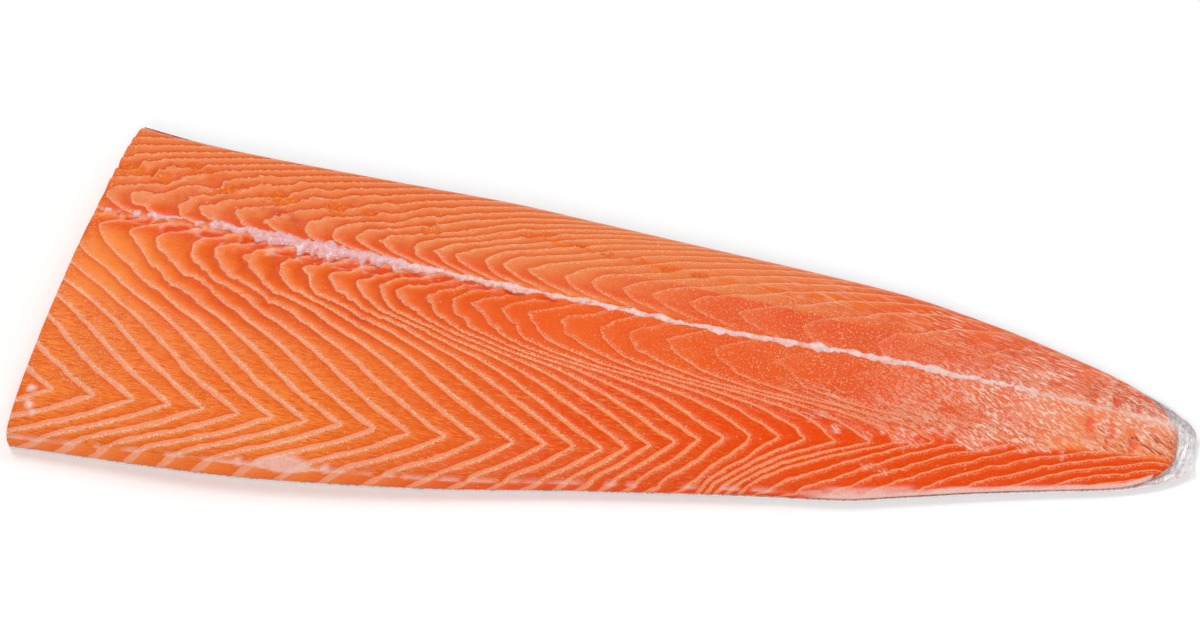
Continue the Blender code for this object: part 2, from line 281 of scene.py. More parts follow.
    def course(self, apex: Array) -> tuple[Array, Array]:
        """Shares and offsets of a septum's knots on the belly half, one column for each apex.

        Args:
            apex: X where each septum meets the midline.

        Returns:
            The shares and the offsets.
        """
        places = [place for place, knots in self.belly_courses]
        table = np.array([knots for place, knots in self.belly_courses], float)
        shares = [np.interp(apex, places, table[:, knot, 0]) for knot in range(table.shape[1])]
        offsets = [np.interp(apex, places, table[:, knot, 1]) for knot in range(table.shape[1])]
        return np.array(shares), np.array(offsets)

    def apex_share(self, numbers: Array) -> Array:
        """Share of the way to the belly edge where each flake's V points at the tail."""
        apex = curve(self.septum_apex, numbers)
        return self.course(apex.ravel())[0][self.apex_knot].reshape(numbers.shape)

    def septum_x(self, numbers: Array, share: float) -> Array:
        """X of each septum at one share: -1 belly edge, 0 midline, 1 back edge.

        Args:
            numbers: Number of each septum.
            share: Share of the way to the edge.

        Returns:
            X of each septum.
        """
        apex = curve(self.septum_apex, numbers)
        reach = curve(self.course_reach, apex)
        keen = smooth_step(*self.keen_turns, apex)
        shares, offsets = self.course(apex)
        if share >= 0:
            turn = self.back_knot
            before_turn = share < self.back_course[turn][0]
            part = self.back_course[:turn + 1] if before_turn else self.back_course[turn:]
            soft, sharp = curve(self.back_course, np.float64(share)), curve(part, np.float64(share))
            return apex + (offsets[0] + soft + (sharp - soft) * keen) * reach
        knot, turn = self.apex_knot, self.turn_knot
        way = np.full_like(apex, -share)
        inner = smooth_curve(shares[:knot + 1], offsets[:knot + 1], way)
        before = smooth_curve(shares[:turn + 1], offsets[:turn + 1], way)
        after = smooth_curve(shares[turn:knot + 1], offsets[turn:knot + 1], way)
        inner += (np.where(way < shares[turn], before, after) - inner) * keen * 0.7
        outer = smooth_curve(shares[knot:], offsets[knot:], way)
        return apex + np.where(way < shares[knot], inner * reach, outer)

    def open_share(self, x: Array, y: Array) -> Array:
        """Share of the way from the midline, -1 at the belly edge and 1 at the back edge.

        The edges are taken as if the tail weren't rounded off, as the septa run on to the cut.

        Args:
            x: X of each place.
            y: Y of each place.

        Returns:
            The share.
        """
        belly = curve(self.belly_edge, x) + curve(self.belly_inset, x)
        back = curve(self.back_edge, x) - curve(self.lip, x)
        return np.clip(np.where(y < 0, -y / belly, y / back), -1, 1)

    def flake_numbers(self, x: Array, y: Array) -> Array:
        """Number of the flake at each place, whole on a septum.

        Args:
            x: X of each place.
            y: Y of each place.

        Returns:
            The numbers, with the share of the flake as their fraction.
        """
        numbers = np.linspace(-12, 60, 1200)
        stations = np.arange(-2.0, self.length + 2, 1.0)
        levels = np.linspace(-1, 1, 201)
        courses = [np.maximum.accumulate(self.septum_x(numbers, level)) for level in levels]
        table = np.array([np.interp(stations, course, numbers) for course in courses])
        row = (self.open_share(x, y) + 1) / (levels[1] - levels[0])
        column = (x - stations[0]) / (stations[1] - stations[0])
        low_row = np.clip(row.astype(int), 0, len(levels) - 2)
        low_column = np.clip(column.astype(int), 0, len(stations) - 2)
        down, right = row - low_row, column - low_column
        left_part = table[low_row, low_column] * (1 - down) + table[low_row + 1, low_column] * down
        right_part = table[low_row, low_column + 1] * (1 - down) + table[low_row + 1, low_column + 1] * down
        return left_part * (1 - right) + right_part * right

    def to_frame(self, points: Array) -> Array:
        """From the plan in millimetres to the frame in metres.

        Args:
            points: Plan places.

        Returns:
            Frame places.
        """
        back_corner = float(self.skin_edges(np.float64(self.cut_slant))[1])
        middle = (self.length / 2, (self.belly_edge[1][1] + back_corner) / 2, 0)
        return (np.asarray(points) - middle) * MM


PLAN = FilletPlan()


def linear(shade: str) -> tuple[float, float, float, float]:
    """Turn a hex sRGB shade into a linear colour with full alpha.

    Args:
        shade: Six hex digits.

    Returns:
        Red, green, blue and alpha.
    """
    parts = [int(shade[i:i + 2], 16) / 255 for i in (0, 2, 4)]
    values = [part / 12.92 if part <= 0.04045 else ((part + 0.055) / 1.055) ** 2.4 for part in parts]
    return values[0], values[1], values[2], 1.0


def add_node(tree: bpy.types.NodeTree, kind: str, inputs: dict | None = None,
             **settings: object) -> bpy.types.Node:
    """Add a node with its settings and links.

    Args:
        tree: Node tree that takes the node.
        kind: Blender's name of the node type.
        inputs: Input name or index with a value, or with a socket to link from.
        settings: Properties of the node.

    Returns:
        The new node.
    """
    node = tree.nodes.new(kind)
    for name, value in settings.items():
        setattr(node, name, value)
    for key, value in (inputs or {}).items():
        if isinstance(value, bpy.types.NodeSocket):
            tree.links.new(value, node.inputs[key])
        else:
            node.inputs[key].default_value = value
    return node


def sheet_mesh(name: str, points: Array, attributes: dict[str, Array]) -> bpy.types.Mesh:
    """Make the mesh of a sheet whose points are given by row and column.

    Args:
        name: Name of the new mesh.
        points: Plan places of shape (rows, columns, 3).
        attributes: Vector attributes of the same shape, stored on the vertices.

    Returns:
        The mesh.
    """
    rows, columns = points.shape[:2]
    sheet = bmesh.new()
    bmesh.ops.create_grid(sheet, x_segments=columns - 1, y_segments=rows - 1, size=0.5)
    data = bpy.data.meshes.new(name)
    sheet.to_mesh(data)
    sheet.free()
    spots = np.empty(len(data.vertices) * 3)
    data.vertices.foreach_get("co", spots)
    spots = spots.reshape(-1, 3) + 0.5
    column = np.rint(spots[:, 0] * (columns - 1)).astype(int)
    row = np.rint(spots[:, 1] * (rows - 1)).astype(int)
    data.vertices.foreach_set("co", PLAN.to_frame(points[row, column]).ravel())
    for label, values in attributes.items():
        layer = data.attributes.new(label, "FLOAT_VECTOR", "POINT")
        layer.data.foreach_set("vector", values[row, column].astype(np.float32).ravel())
    return data


def tube(name: str, points: Array, attributes: dict[str, Array], ends: Face) -> bpy.types.Object:
    """Make a closed tube through rings of points, with flat caps at both ends.

    Args:
        name: Name of the new object.
        points: Plan places of shape (points round a ring, rings, 3).
        attributes: Vector attributes of the same shape, stored on the vertices.
        ends: Face that the caps at the ends belong to.

    Returns:
        The new object, at the origin, with its place in its mesh.
    """
    closed = {label: np.concatenate([values, values[:1]]) for label, values in attributes.items()}
    data = sheet_mesh(name, np.concatenate([points, points[:1]]), closed)
    mesh = bmesh.new()
    mesh.from_mesh(data)
    bmesh.ops.remove_doubles(mesh, verts=mesh.verts[:], dist=0.000001)
    open_edges = [edge for edge in mesh.edges if edge.is_boundary]
    caps = bmesh.ops.holes_fill(mesh, edges=open_edges, sides=0)["faces"]
    for cap in caps:
        cap.material_index = ends
    bmesh.ops.triangulate(mesh, faces=caps)
    bmesh.ops.recalc_face_normals(mesh, faces=mesh.faces[:])
    mesh.to_mesh(data)
    mesh.free()
    data.shade_smooth()
    made = bpy.data.objects.new(name, data)
    bpy.context.scene.collection.objects.link(made)
    return made


def field(tree: bpy.types.NodeTree, name: str) -> tuple[Socket, Socket, Socket]:
    """Read the three parts of a vector attribute.

    Args:
        tree: Node tree that takes the nodes.
        name: Name of the attribute.

    Returns:
        Its three parts.
    """
    source = add_node(tree, "ShaderNodeAttribute", attribute_name=name)
    parts = add_node(tree, "ShaderNodeSeparateXYZ", {0: source.outputs["Vector"]})
    return parts.outputs["X"], parts.outputs["Y"], parts.outputs["Z"]


@dataclass(frozen=True)
class Mottle:
    """A mottling whose size comes from the real thing, in millimetres."""

    size_mm: float
    low: float
    high: float
    detail: float = 2.0
    roughness: float = 0.55
    stretch: tuple[float, float, float] = (1.0, 1.0, 1.0)
    turn_degrees: float = 0.0

    def add(self, tree: bpy.types.NodeTree, place: Socket) -> Socket:
        """Add the mottling over Object coordinates, from 0 at low to 1 at high.

        Args:
            tree: Node tree that takes the nodes.
            place: Object coordinates.

        Returns:
            The share of the mottling.
        """
        turn = (0.0, 0.0, float(np.radians(self.turn_degrees)))
        spread = add_node(tree, "ShaderNodeMapping",
                          {"Vector": place, "Rotation": turn, "Scale": self.stretch},
                          vector_type="TEXTURE")
        noise = add_node(tree, "ShaderNodeTexNoise",
                         {"Vector": spread.outputs["Vector"], "Scale": 1 / (self.size_mm * MM),
                          "Detail": self.detail, "Roughness": self.roughness})
        level = add_node(tree, "ShaderNodeMapRange",
                         {"Value": noise.outputs["Fac"], "From Min": self.low, "From Max": self.high})
        return level.outputs["Result"]


def product(tree: bpy.types.NodeTree, *shares: Socket | float) -> Socket:
    """Multiply shares, kept from 0 to 1.

    Args:
        tree: Node tree that takes the nodes.
        shares: Sockets or numbers to multiply.

    Returns:
        The product.
    """
    total = shares[0]
    for share in shares[1:]:
        total = add_node(tree, "ShaderNodeMath", {0: total, 1: share}, operation="MULTIPLY",
                         use_clamp=True).outputs[0]
    return total


def painted(tree: bpy.types.NodeTree, base: str, coats: list[tuple[Socket, str]]) -> Socket:
    """Lay coats of colour over a base.

    Args:
        tree: Node tree that takes the nodes.
        base: Hex shade at the bottom.
        coats: Share and hex shade of each coat, from the bottom up.

    Returns:
        The colour on top.
    """
    colour = linear(base)
    for share, shade in coats:
        colour = add_node(tree, "ShaderNodeMix", {0: share, 6: colour, 7: linear(shade)},
                          data_type="RGBA").outputs[2]
    return colour


def start_material(name: str) -> tuple[bpy.types.Material, bpy.types.Node, Socket]:
    """Start a material.

    Args:
        name: Name of the material, after the real one.

    Returns:
        The material, its shader and the Object coordinates.
    """
    made = bpy.data.materials.new(name)
    made.use_nodes = True
    tree = made.node_tree
    return made, tree.nodes["Principled BSDF"], add_node(tree, "ShaderNodeTexCoord").outputs["Object"]


def raised(tree: bpy.types.NodeTree, layers: list[tuple[Socket, float]], strength: float, depth_mm: float,
           inward: bool = False) -> Socket:
    """Turn layers of fine relief into a surface normal.

    Args:
        tree: Node tree that takes the nodes.
        layers: Share of each layer, and its height as a share of the depth.
        strength: Strength of the bump.
        depth_mm: Height of a full layer in millimetres.
        inward: Whether the layers are sunk instead of raised.

    Returns:
        The normal.
    """
    height: Socket | float = 0.0
    for share, rise in layers:
        height = add_node(tree, "ShaderNodeMath", {0: share, 1: rise, 2: height},
                          operation="MULTIPLY_ADD").outputs[0]
    bump = add_node(tree, "ShaderNodeBump",
                    {"Height": height, "Strength": strength, "Distance": depth_mm * MM}, invert=inward)
    return bump.outputs["Normal"]


def dress(shader: bpy.types.Node, colour: Socket, normal: Socket, constants: dict[str, object]) -> None:
    """Link a shader's colour and normal, and set what is the same all over the surface.

    Args:
        shader: Shader of the material.
        colour: Base colour.
        normal: Surface normal.
        constants: Value of each other input that is set.
    """
    tree = shader.id_data
    tree.links.new(colour, shader.inputs["Base Color"])
    tree.links.new(normal, shader.inputs["Normal"])
    for name, value in constants.items():
        shader.inputs[name].default_value = value


@dataclass(frozen=True)
class FleshFinish:
    """Raw salmon muscle, cut with a knife and wet: soft orange flakes parted by pale fat.

    Light soaks into it, the fat lines have grainy edges on the tail side, and a film of moisture
    gives small bright glints, partly painted as bright dots, crumbs, grain, strokes and patches.
    Shade along the flakes, in front of the fat lines and in the tail's creases and grooves is
    painted too, as is a highlight on each flake's crest. The dots, fibres and glints are drawn
    about twice as coarse as real ones, so that they show.
    """

    name: str = "raw_salmon_muscle"
    orange: str = "F6821A"
    coral: str = "EA824E"
    deep: str = "EC4000"
    # Painted shade: darkens each flake toward the next one, and the groove in front of each fat line.
    sunk: str = "D84600"
    rose: str = "F28C68"
    # Painted highlight on the raised head-side edge of each flake.
    crest_highlight: str = "F2976C"
    yellow: str = "EE6E00"
    blood: str = "D03A30"
    fibre_dark: str = "DE5A08"
    fibre_light: str = "FA9654"
    fat_core: str = "F29A76"
    fat_edge: str = "FFB58C"
    fat_deep: str = "FF8448"
    # Pale crumbs of fat, also painted sparkle highlights along the fat lines.
    crumb: str = "FFD6AC"
    # Pale grain dots, partly painted sparkle highlights of the wet surface.
    grain: str = "FFA476"
    # Painted highlight strokes and painted sheen on the tail, and the pale strands' own colour.
    stroke_pale: str = "FFD0BC"
    # Painted shade in the tail's creases.
    stroke_dark: str = "B43C10"
    strand_dark: str = "D84A18"
    # Pale membrane, and painted highlights on the wet blobs.
    film: str = "F8D8D0"
    # Painted highlight dots.
    glint: str = "FFEAD2"
    roughness: tuple[float, float] = (0.36, 0.24)
    moisture: tuple[float, float] = (0.02, 0.65)
    relief: tuple[tuple[str, float], ...] = (
        ("fat", 0.3), ("wave", 0.25), ("dark_fibre", -0.2), ("grain", 0.5), ("pore", -0.4), ("crumb", 0.6),
        ("pale_stroke_highlight", 0.6), ("dark_strand", -0.4), ("pale_strand", 0.4), ("groove_shadow_and_film", -0.2), ("crease_shade", -0.8),
        ("film", 0.3),
    )
    fuzz: Mottle = Mottle(0.45, 0.0, 1.0, 2.0, 0.6)
    swell: Mottle = Mottle(6.0, 0.3, 0.7, 1.0)
    dark_fibres: Mottle = Mottle(0.36, 0.5, 0.64, 2.0, 0.5, (10.0, 1.0, 1.0), 2.0)
    light_fibres: Mottle = Mottle(0.36, 0.54, 0.68, 2.0, 0.5, (9.0, 1.0, 1.0), 0.0)
    crumbs: Mottle = Mottle(0.5, 0.5, 0.58, 2.0, 0.65)
    grains: Mottle = Mottle(0.62, 0.565, 0.615, 2.0, 0.7)
    pores: Mottle = Mottle(0.7, 0.56, 0.62, 2.0, 0.7)
    wetness: Mottle = Mottle(0.8, 0.3, 0.7, 3.0, 0.6)
    pale_strokes: Mottle = Mottle(0.75, 0.5, 0.56, 3.0, 0.62, (3.2, 1.0, 1.0), -28.0)
    dark_strokes: Mottle = Mottle(0.7, 0.565, 0.61, 2.0, 0.5, (13.0, 1.0, 1.0), -32.0)
    dark_strands: Mottle = Mottle(0.6, 0.52, 0.58, 2.0, 0.55, (18.0, 1.0, 1.0), -10.0)
    pale_strands: Mottle = Mottle(0.55, 0.56, 0.62, 2.0, 0.55, (20.0, 1.0, 1.0), -10.0)

    def material(self) -> bpy.types.Material:
        """Make the material, which reads the flake, fat, tone, surface, tail and marks attributes.

        Returns:
            The material, glossier and smoother where the tail attribute is wet.
        """
        made, shader, place = start_material(self.name)
        tree = made.node_tree
        masks = self.line_masks(tree, place) | self.surface_masks(tree, place)
        normal = raised(tree, [(masks[name], rise) for name, rise in self.relief], 0.7, 0.3)
        dress(shader, self.colour(tree, masks), normal, {
            "IOR": 1.38, "Specular IOR Level": 0.03, "Subsurface Weight": 0.12,
            "Subsurface Radius": (1.0, 0.35, 0.15), "Subsurface Scale": 0.8 * MM, "Coat Roughness": 0.16,
        })
        tree.links.new(normal, shader.inputs["Coat Normal"])
        wet = field(tree, "tail")[1]
        for name, (dry, soaked) in {"Roughness": self.roughness, "Coat Weight": self.moisture}.items():
            level = add_node(tree, "ShaderNodeMapRange", {"Value": wet, "To Min": dry, "To Max": soaked})
            tree.links.new(level.outputs["Result"], shader.inputs[name])
        return made

    def line_masks(self, tree: bpy.types.NodeTree, place: Socket) -> dict[str, Socket]:
        """Make the masks of the fat lines and of the painted shade and highlight along the flakes.

        Args:
            tree: Node tree that takes the nodes.
            place: Object coordinates.

        Returns:
            The masks by name.
        """
        number, steep, shade = field(tree, "flake")
        half, strength, ragged = field(tree, "fat")
        phase = add_node(tree, "ShaderNodeMath", {0: number}, operation="FRACT").outputs[0]
        away = self.distance(tree, number, steep)
        ahead = add_node(tree, "ShaderNodeMath", {0: phase, 1: 0.5}, operation="GREATER_THAN").outputs[0]
        # Painted shadow of the groove in front of each fat line.
        groove_shadow_and_film = add_node(tree, "ShaderNodeMapRange",
                        {"Value": away, "From Min": 0.5, "From Max": 1.7, "To Min": 1.0, "To Max": 0.0})
        fat = self.fat_mask(tree, place, away, half, strength, ragged)
        return {
            "fat": fat,
            "core": add_node(tree, "ShaderNodeMath", {0: fat, 1: 4.0}, operation="POWER").outputs[0],
            "groove_shadow_and_film": product(tree, groove_shadow_and_film.outputs["Result"], ahead, strength, 0.55),
            "crumb": self.crumb_mask(tree, place, phase, away, ragged),
            # Painted shade toward each flake's far end, and a painted highlight on its raised crest.
            "sunk": self.along_flake(tree, phase, 0.25, 0.95, shade),
            "crest_highlight": self.along_flake(tree, phase, 0.5, 0.02, product(tree, shade, 0.7)),
        }

    def surface_masks(self, tree: bpy.types.NodeTree, place: Socket) -> dict[str, Socket]:
        """Make the masks of the fibres, grains, strokes, strands and films, and of painted glints, sheen
        and crease shade.

        Args:
            tree: Node tree that takes the nodes.
            place: Object coordinates.

        Returns:
            The masks by name.
        """
        grainy, film, fibrous = field(tree, "surface")
        strand, sheen, crease_shade = field(tree, "marks")
        tail = field(tree, "tail")[0]
        strokes = self.pale_strokes.add(tree, place)
        # Painted sheen: the pale strokes inside the sheen patches.
        painted_sheen = add_node(tree, "ShaderNodeMapRange", {"Value": strokes, "To Min": 0.15, "To Max": 0.8})
        wave = self.wetness.add(tree, place)
        streaks = add_node(tree, "ShaderNodeMapRange", {"Value": wave, "To Min": 0.6, "To Max": 1.0})
        return {
            "dark_fibre": product(tree, self.dark_fibres.add(tree, place), fibrous),
            "light_fibre": product(tree, self.light_fibres.add(tree, place), fibrous, 0.55),
            "grain": product(tree, self.grains.add(tree, place), grainy),
            "pore": product(tree, self.pores.add(tree, place), grainy, 0.7),
            "pale_stroke_highlight": product(tree, strokes, tail),
            "painted_sheen": product(tree, painted_sheen.outputs["Result"], sheen),
            "crease_shade": product(tree, self.dark_strokes.add(tree, place), crease_shade),
            "dark_strand": product(tree, self.dark_strands.add(tree, place), strand),
            "pale_strand": product(tree, self.pale_strands.add(tree, place), strand, 0.9),
            "wave": wave,
            "film": film,
            "streaky_film": product(tree, film, streaks.outputs["Result"]),
            "glint": self.glints(tree, place, grainy, tail),
        }

    def colour(self, tree: bpy.types.NodeTree, masks: dict[str, Socket]) -> Socket:
        """Paint the flesh, from its own tones up to the films and glints on it, with painted shade and
        highlights among them.

        Args:
            tree: Node tree that takes the nodes.
            masks: Masks by name.

        Returns:
            The colour.
        """
        deep, coral, yellow = field(tree, "tone")
        tail, _, blood = field(tree, "tail")
        deep_fat = product(tree, masks["fat"], deep, 0.7)
        return painted(tree, self.orange, [
            (coral, self.coral), (deep, self.deep),
            (masks["sunk"], self.sunk), (masks["crest_highlight"], self.crest_highlight),
            (product(tree, tail, 0.35), self.rose), (yellow, self.yellow), (masks["groove_shadow_and_film"], self.sunk),
            (masks["dark_fibre"], self.fibre_dark), (masks["light_fibre"], self.fibre_light),
            (blood, self.blood), (masks["pore"], self.strand_dark),
            (masks["dark_strand"], self.strand_dark), (masks["pale_strand"], self.stroke_pale),
            (masks["grain"], self.grain), (masks["painted_sheen"], self.stroke_pale),
            (masks["pale_stroke_highlight"], self.stroke_pale), (masks["crease_shade"], self.stroke_dark),
            (masks["fat"], self.fat_edge), (masks["core"], self.fat_core), (deep_fat, self.fat_deep),
            (masks["crumb"], self.crumb), (masks["streaky_film"], self.film), (masks["glint"], self.glint),
        ])

    def along_flake(self, tree: bpy.types.NodeTree, phase: Socket, start: float, end: float,
                    share: Socket) -> Socket:
        """A ramp along each flake, for its painted shade and its painted crest highlight, from nothing at
        start to its share at end.

        Args:
            tree: Node tree that takes the nodes.
            phase: Share of the way from one fat line to the next.
            start: Phase where the shading starts.
            end: Phase where it is full.
            share: Share at full.

        Returns:
            The share of the shading.
        """
        ramp = add_node(tree, "ShaderNodeMapRange", {"Value": phase, "From Min": start, "From Max": end},
                        interpolation_type="SMOOTHSTEP")
        return product(tree, ramp.outputs["Result"], share)

    def distance(self, tree: bpy.types.NodeTree, number: Socket, steep: Socket) -> Socket:
        """Millimetres to the nearest fat line."""
        away = add_node(tree, "ShaderNodeMath", {0: number, 1: 0.5}, operation="PINGPONG").outputs[0]
        return add_node(tree, "ShaderNodeMath", {0: away, 1: steep}, operation="DIVIDE").outputs[0]

    def fat_mask(self, tree: bpy.types.NodeTree, place: Socket, away: Socket, half: Socket,
                 strength: Socket, ragged: Socket) -> Socket:
        """Mask of the fat lines, by each line's own width, strength and raggedness.

        Args:
            tree: Node tree that takes the nodes.
            place: Object coordinates.
            away: Distance to the nearest fat line in millimetres.
            half: Half-width of the line in millimetres.
            strength: Strength of the line.
            ragged: How ragged the line's edge is.

        Returns:
            The mask.
        """
        fuzz = add_node(tree, "ShaderNodeMath", {0: self.fuzz.add(tree, place), 1: 0.5},
                        operation="SUBTRACT").outputs[0]
        away = add_node(tree, "ShaderNodeMath", {0: fuzz, 1: ragged, 2: away},
                        operation="MULTIPLY_ADD").outputs[0]
        strength = add_node(tree, "ShaderNodeMath", {0: strength, 1: 1.08}, operation="MULTIPLY",
                            use_clamp=True).outputs[0]
        swell = add_node(tree, "ShaderNodeMath", {0: self.swell.add(tree, place), 1: 0.6, 2: 0.7},
                         operation="MULTIPLY_ADD").outputs[0]
        width = add_node(tree, "ShaderNodeMath", {0: half, 1: swell}, operation="MULTIPLY").outputs[0]
        inner = add_node(tree, "ShaderNodeMath", {0: width, 1: 0.75}, operation="MULTIPLY").outputs[0]
        outer = add_node(tree, "ShaderNodeMath", {0: width, 1: 1.2}, operation="MULTIPLY").outputs[0]
        mask = add_node(tree, "ShaderNodeMapRange",
                        {"Value": away, "From Min": inner, "From Max": outer, "To Min": 1.0, "To Max": 0.0},
                        interpolation_type="SMOOTHSTEP").outputs["Result"]
        return product(tree, mask, strength)

    def crumb_mask(self, tree: bpy.types.NodeTree, place: Socket, phase: Socket, away: Socket,
                   ragged: Socket) -> Socket:
        """Bright crumbs of fat along the tail side of each line, which also serve as painted sparkle
        highlights.

        Args:
            tree: Node tree that takes the nodes.
            place: Object coordinates.
            phase: Share of the way from one fat line to the next.
            away: Distance to the nearest fat line in millimetres.
            ragged: How ragged the line's edge is.

        Returns:
            The mask.
        """
        after = add_node(tree, "ShaderNodeMath", {0: phase, 1: 0.5}, operation="LESS_THAN").outputs[0]
        close = add_node(tree, "ShaderNodeMapRange",
                         {"Value": away, "From Min": 0.4, "From Max": 1.5, "To Min": 1.0, "To Max": 0.0})
        return product(tree, self.crumbs.add(tree, place), close.outputs["Result"], after, ragged, 1.6)

    def glints(self, tree: bpy.types.NodeTree, place: Socket, grainy: Socket, tail: Socket) -> Socket:
        """Tiny painted highlights as bright dots, mostly where the surface is grainy.

        Args:
            tree: Node tree that takes the nodes.
            place: Object coordinates.
            grainy: How grainy the surface is.
            tail: How wrinkled the surface is.

        Returns:
            The mask.
        """
        cells = add_node(tree, "ShaderNodeTexVoronoi", {"Vector": place, "Scale": 1 / (1.25 * MM)})
        chance = add_node(tree, "ShaderNodeSeparateColor", {0: cells.outputs["Color"]}).outputs[0]
        often = add_node(tree, "ShaderNodeMath", {0: grainy, 1: 0.4, 2: 0.04},
                         operation="MULTIPLY_ADD").outputs[0]
        often = add_node(tree, "ShaderNodeMath", {0: tail, 1: 0.4, 2: often},
                         operation="MULTIPLY_ADD").outputs[0]
        some = add_node(tree, "ShaderNodeMath", {0: chance, 1: often}, operation="LESS_THAN").outputs[0]
        dot = add_node(tree, "ShaderNodeMapRange",
                       {"Value": cells.outputs["Distance"], "From Min": 0.08, "From Max": 0.17,
                        "To Min": 1.0, "To Max": 0.0})
        return product(tree, dot.outputs["Result"], some, 0.7)


@dataclass(frozen=True)
class CutFaceFinish:
    """The knife-cut end of the flesh: smooth and moist, with the flakes cut across as arcs."""

    name: str = "salmon_muscle_cut_across"
    orange: str = "EA6C1E"
    fat: str = "F2AA86"
    fibre: str = "D65A10"
    grain: str = "F99C66"
    ring_mm: float = 5.5
    fibres: Mottle = Mottle(0.7, 0.5, 0.66, 3.0, 0.6)
    grains: Mottle = Mottle(0.9, 0.58, 0.66, 2.0)

    def material(self) -> bpy.types.Material:
        """Make the material from Object coordinates.

        Returns:
            The material.
        """
        made, shader, place = start_material(self.name)
        tree = made.node_tree
        rings = add_node(tree, "ShaderNodeMapping",
                         {"Vector": place, "Location": (0.0, 0.0, 0.012), "Scale": (0.0, 0.35, 1.0)})
        wave = add_node(tree, "ShaderNodeTexWave",
                        {"Vector": rings.outputs["Vector"], "Scale": 0.31 / (self.ring_mm * MM),
                         "Distortion": 2.0, "Detail": 2.0, "Detail Scale": 1.2},
                        wave_type="RINGS", rings_direction="X")
        lines = add_node(tree, "ShaderNodeMapRange",
                         {"Value": wave.outputs["Fac"], "From Min": 0.8, "From Max": 0.97})
        fibre, grain = self.fibres.add(tree, place), self.grains.add(tree, place)
        colour = painted(tree, self.orange, [
            (product(tree, fibre, 0.7), self.fibre), (product(tree, grain, 0.8), self.grain),
            (lines.outputs["Result"], self.fat),
        ])
        dress(shader, colour, raised(tree, [(fibre, -0.5), (grain, 1.0)], 0.5, 0.25), {
            "Roughness": 0.3, "IOR": 1.38, "Subsurface Weight": 0.2,
            "Subsurface Radius": (1.0, 0.35, 0.15), "Subsurface Scale": 1.2 * MM,
        })
        return made


@dataclass(frozen=True)
class Spots:
    """Oval spots on the cut surface, each as (x, y, half length, half height) in millimetres."""

    ovals: tuple[tuple[float, float, float, float], ...]
    waver: float = 0.25

    def nearness(self, x: Array, y: Array) -> Array:
        """Distance from the nearest spot's middle, 1 on its outline.

        Args:
            x: X of each place.
            y: Y of each place.

        Returns:
            The distance as a share of the spot's size.
        """
        nearest = np.full_like(x, 9.0)
        ragged = 1 + self.waver * soft_noise(x, y, 2.2, 71)
        for at_x, at_y, length, height in self.ovals:
            away = np.hypot((x - at_x) / length, (y - at_y) / height) * ragged
            nearest = np.minimum(nearest, away)
        return nearest

    def inside(self, x: Array, y: Array, soft: float) -> Array:
        """1 inside the spots and 0 outside, over a soft edge."""
        return 1 - smooth_step(1 - soft, 1 + soft, self.nearness(x, y))


POCKETS = Spots((
    (19, -1.2, 4.6, 1.5), (33.5, -2.4, 4.8, 1.6), (46.3, -2.4, 4.8, 1.7), (60, -2.8, 4.8, 1.7),
    (71, -4.2, 4.0, 1.7), (81, -4.7, 4.2, 1.8), (92, -4.7, 4.0, 1.6), (103, -4.4, 4.0, 1.5),
    (114, -3.9, 3.8, 1.4), (125, -3.5, 3.6, 1.3), (136, -3.3, 3.6, 1.2), (148, -3.3, 3.8, 1.1),
    (160, -3.2, 3.8, 1.0),
), 0.5)
# Spots of painted sheen, drawn as pale highlight strokes on the tail.
SHEEN = Spots((
    (280.6, -27.7, 2.6, 1.5), (302.2, -23.7, 4.2, 1.8), (321.2, -18.6, 1.8, 1.8), (317.3, -21.0, 1.5, 1.2),
    (268.7, -27.9, 1.5, 1.2), (258.6, -29.0, 1.4, 1.0), (270.6, -38.3, 1.8, 0.9), (274.6, -38.9, 2.2, 0.9),
    (342.2, -4.0, 1.2, 2.4), (347.0, -4.5, 1.2, 2.4), (341.2, 3.4, 1.1, 2.0), (348.2, 2.5, 1.0, 2.0),
), 0.5)
PITS = Spots(waver=0.6, ovals=(
    (12, 19.6, 4.6, 2.2), (22, 18.6, 4.2, 2.2), (34, 24.5, 5.5, 1.4), (45, 17.9, 5.0, 2.4),
    (64, 17.4, 4.6, 2.3), (83, 17.7, 4.2, 2.0), (95, 17.5, 3.0, 1.8), (115, 16.2, 3.2, 1.8),
    (148, 21.2, 2.8, 1.3), (155, 22.3, 2.2, 0.9), (165, 21.0, 3.2, 1.0), (174, 19.6, 2.6, 0.9),
    (185, 19.2, 3.4, 0.9), (196, 18.6, 2.6, 0.8), (206, 18.4, 2.6, 0.7),
))
BLOOD = Spots(((64.5, 11.0, 3.6, 1.2), (71, 9.0, 2.0, 0.9), (102, -24.2, 2.2, 0.8), (5, -8, 1.2, 2.4)), 0.6)
# Patches of painted sheen on the wet tail.
PAINTED_SHEEN_PATCHES = Spots((
    (280, -26.6, 4.2, 1.9), (300.5, -23.0, 5.2, 2.2), (323, -19.0, 4.0, 1.8), (318.5, 8.0, 6.5, 2.4),
    (317.5, -5.8, 5.5, 2.2), (332.5, 2.4, 2.4, 1.2), (311, -22.0, 1.5, 0.8), (342.0, -5.6, 1.6, 3.4),
    (347.6, -5.6, 1.4, 3.4), (355.0, -6.0, 3.6, 2.2), (341.6, 3.6, 1.3, 2.8), (348.4, 3.6, 1.2, 2.6),
), 0.6)
# Pressed grooves across the tail, sunk and painted deep orange as their shade.
SHADED_GROOVES = Spots((
    (337.5, -7.5, 1.6, 4.8), (344.0, -8.0, 1.3, 5.2), (351.5, -10.0, 1.6, 5.0), (338.0, 4.6, 1.6, 4.0),
    (345.0, 4.0, 1.4, 3.6), (352.0, 3.6, 1.2, 2.8),
))
SMOOTH_PATCH = Spots(((295.0, -12.6, 5.5, 2.4), (300.5, -14.0, 4.5, 1.6)), 0.5)
NOTCH = Spots(((365.5, 1.5, 5.0, 2.6),), 0.3)
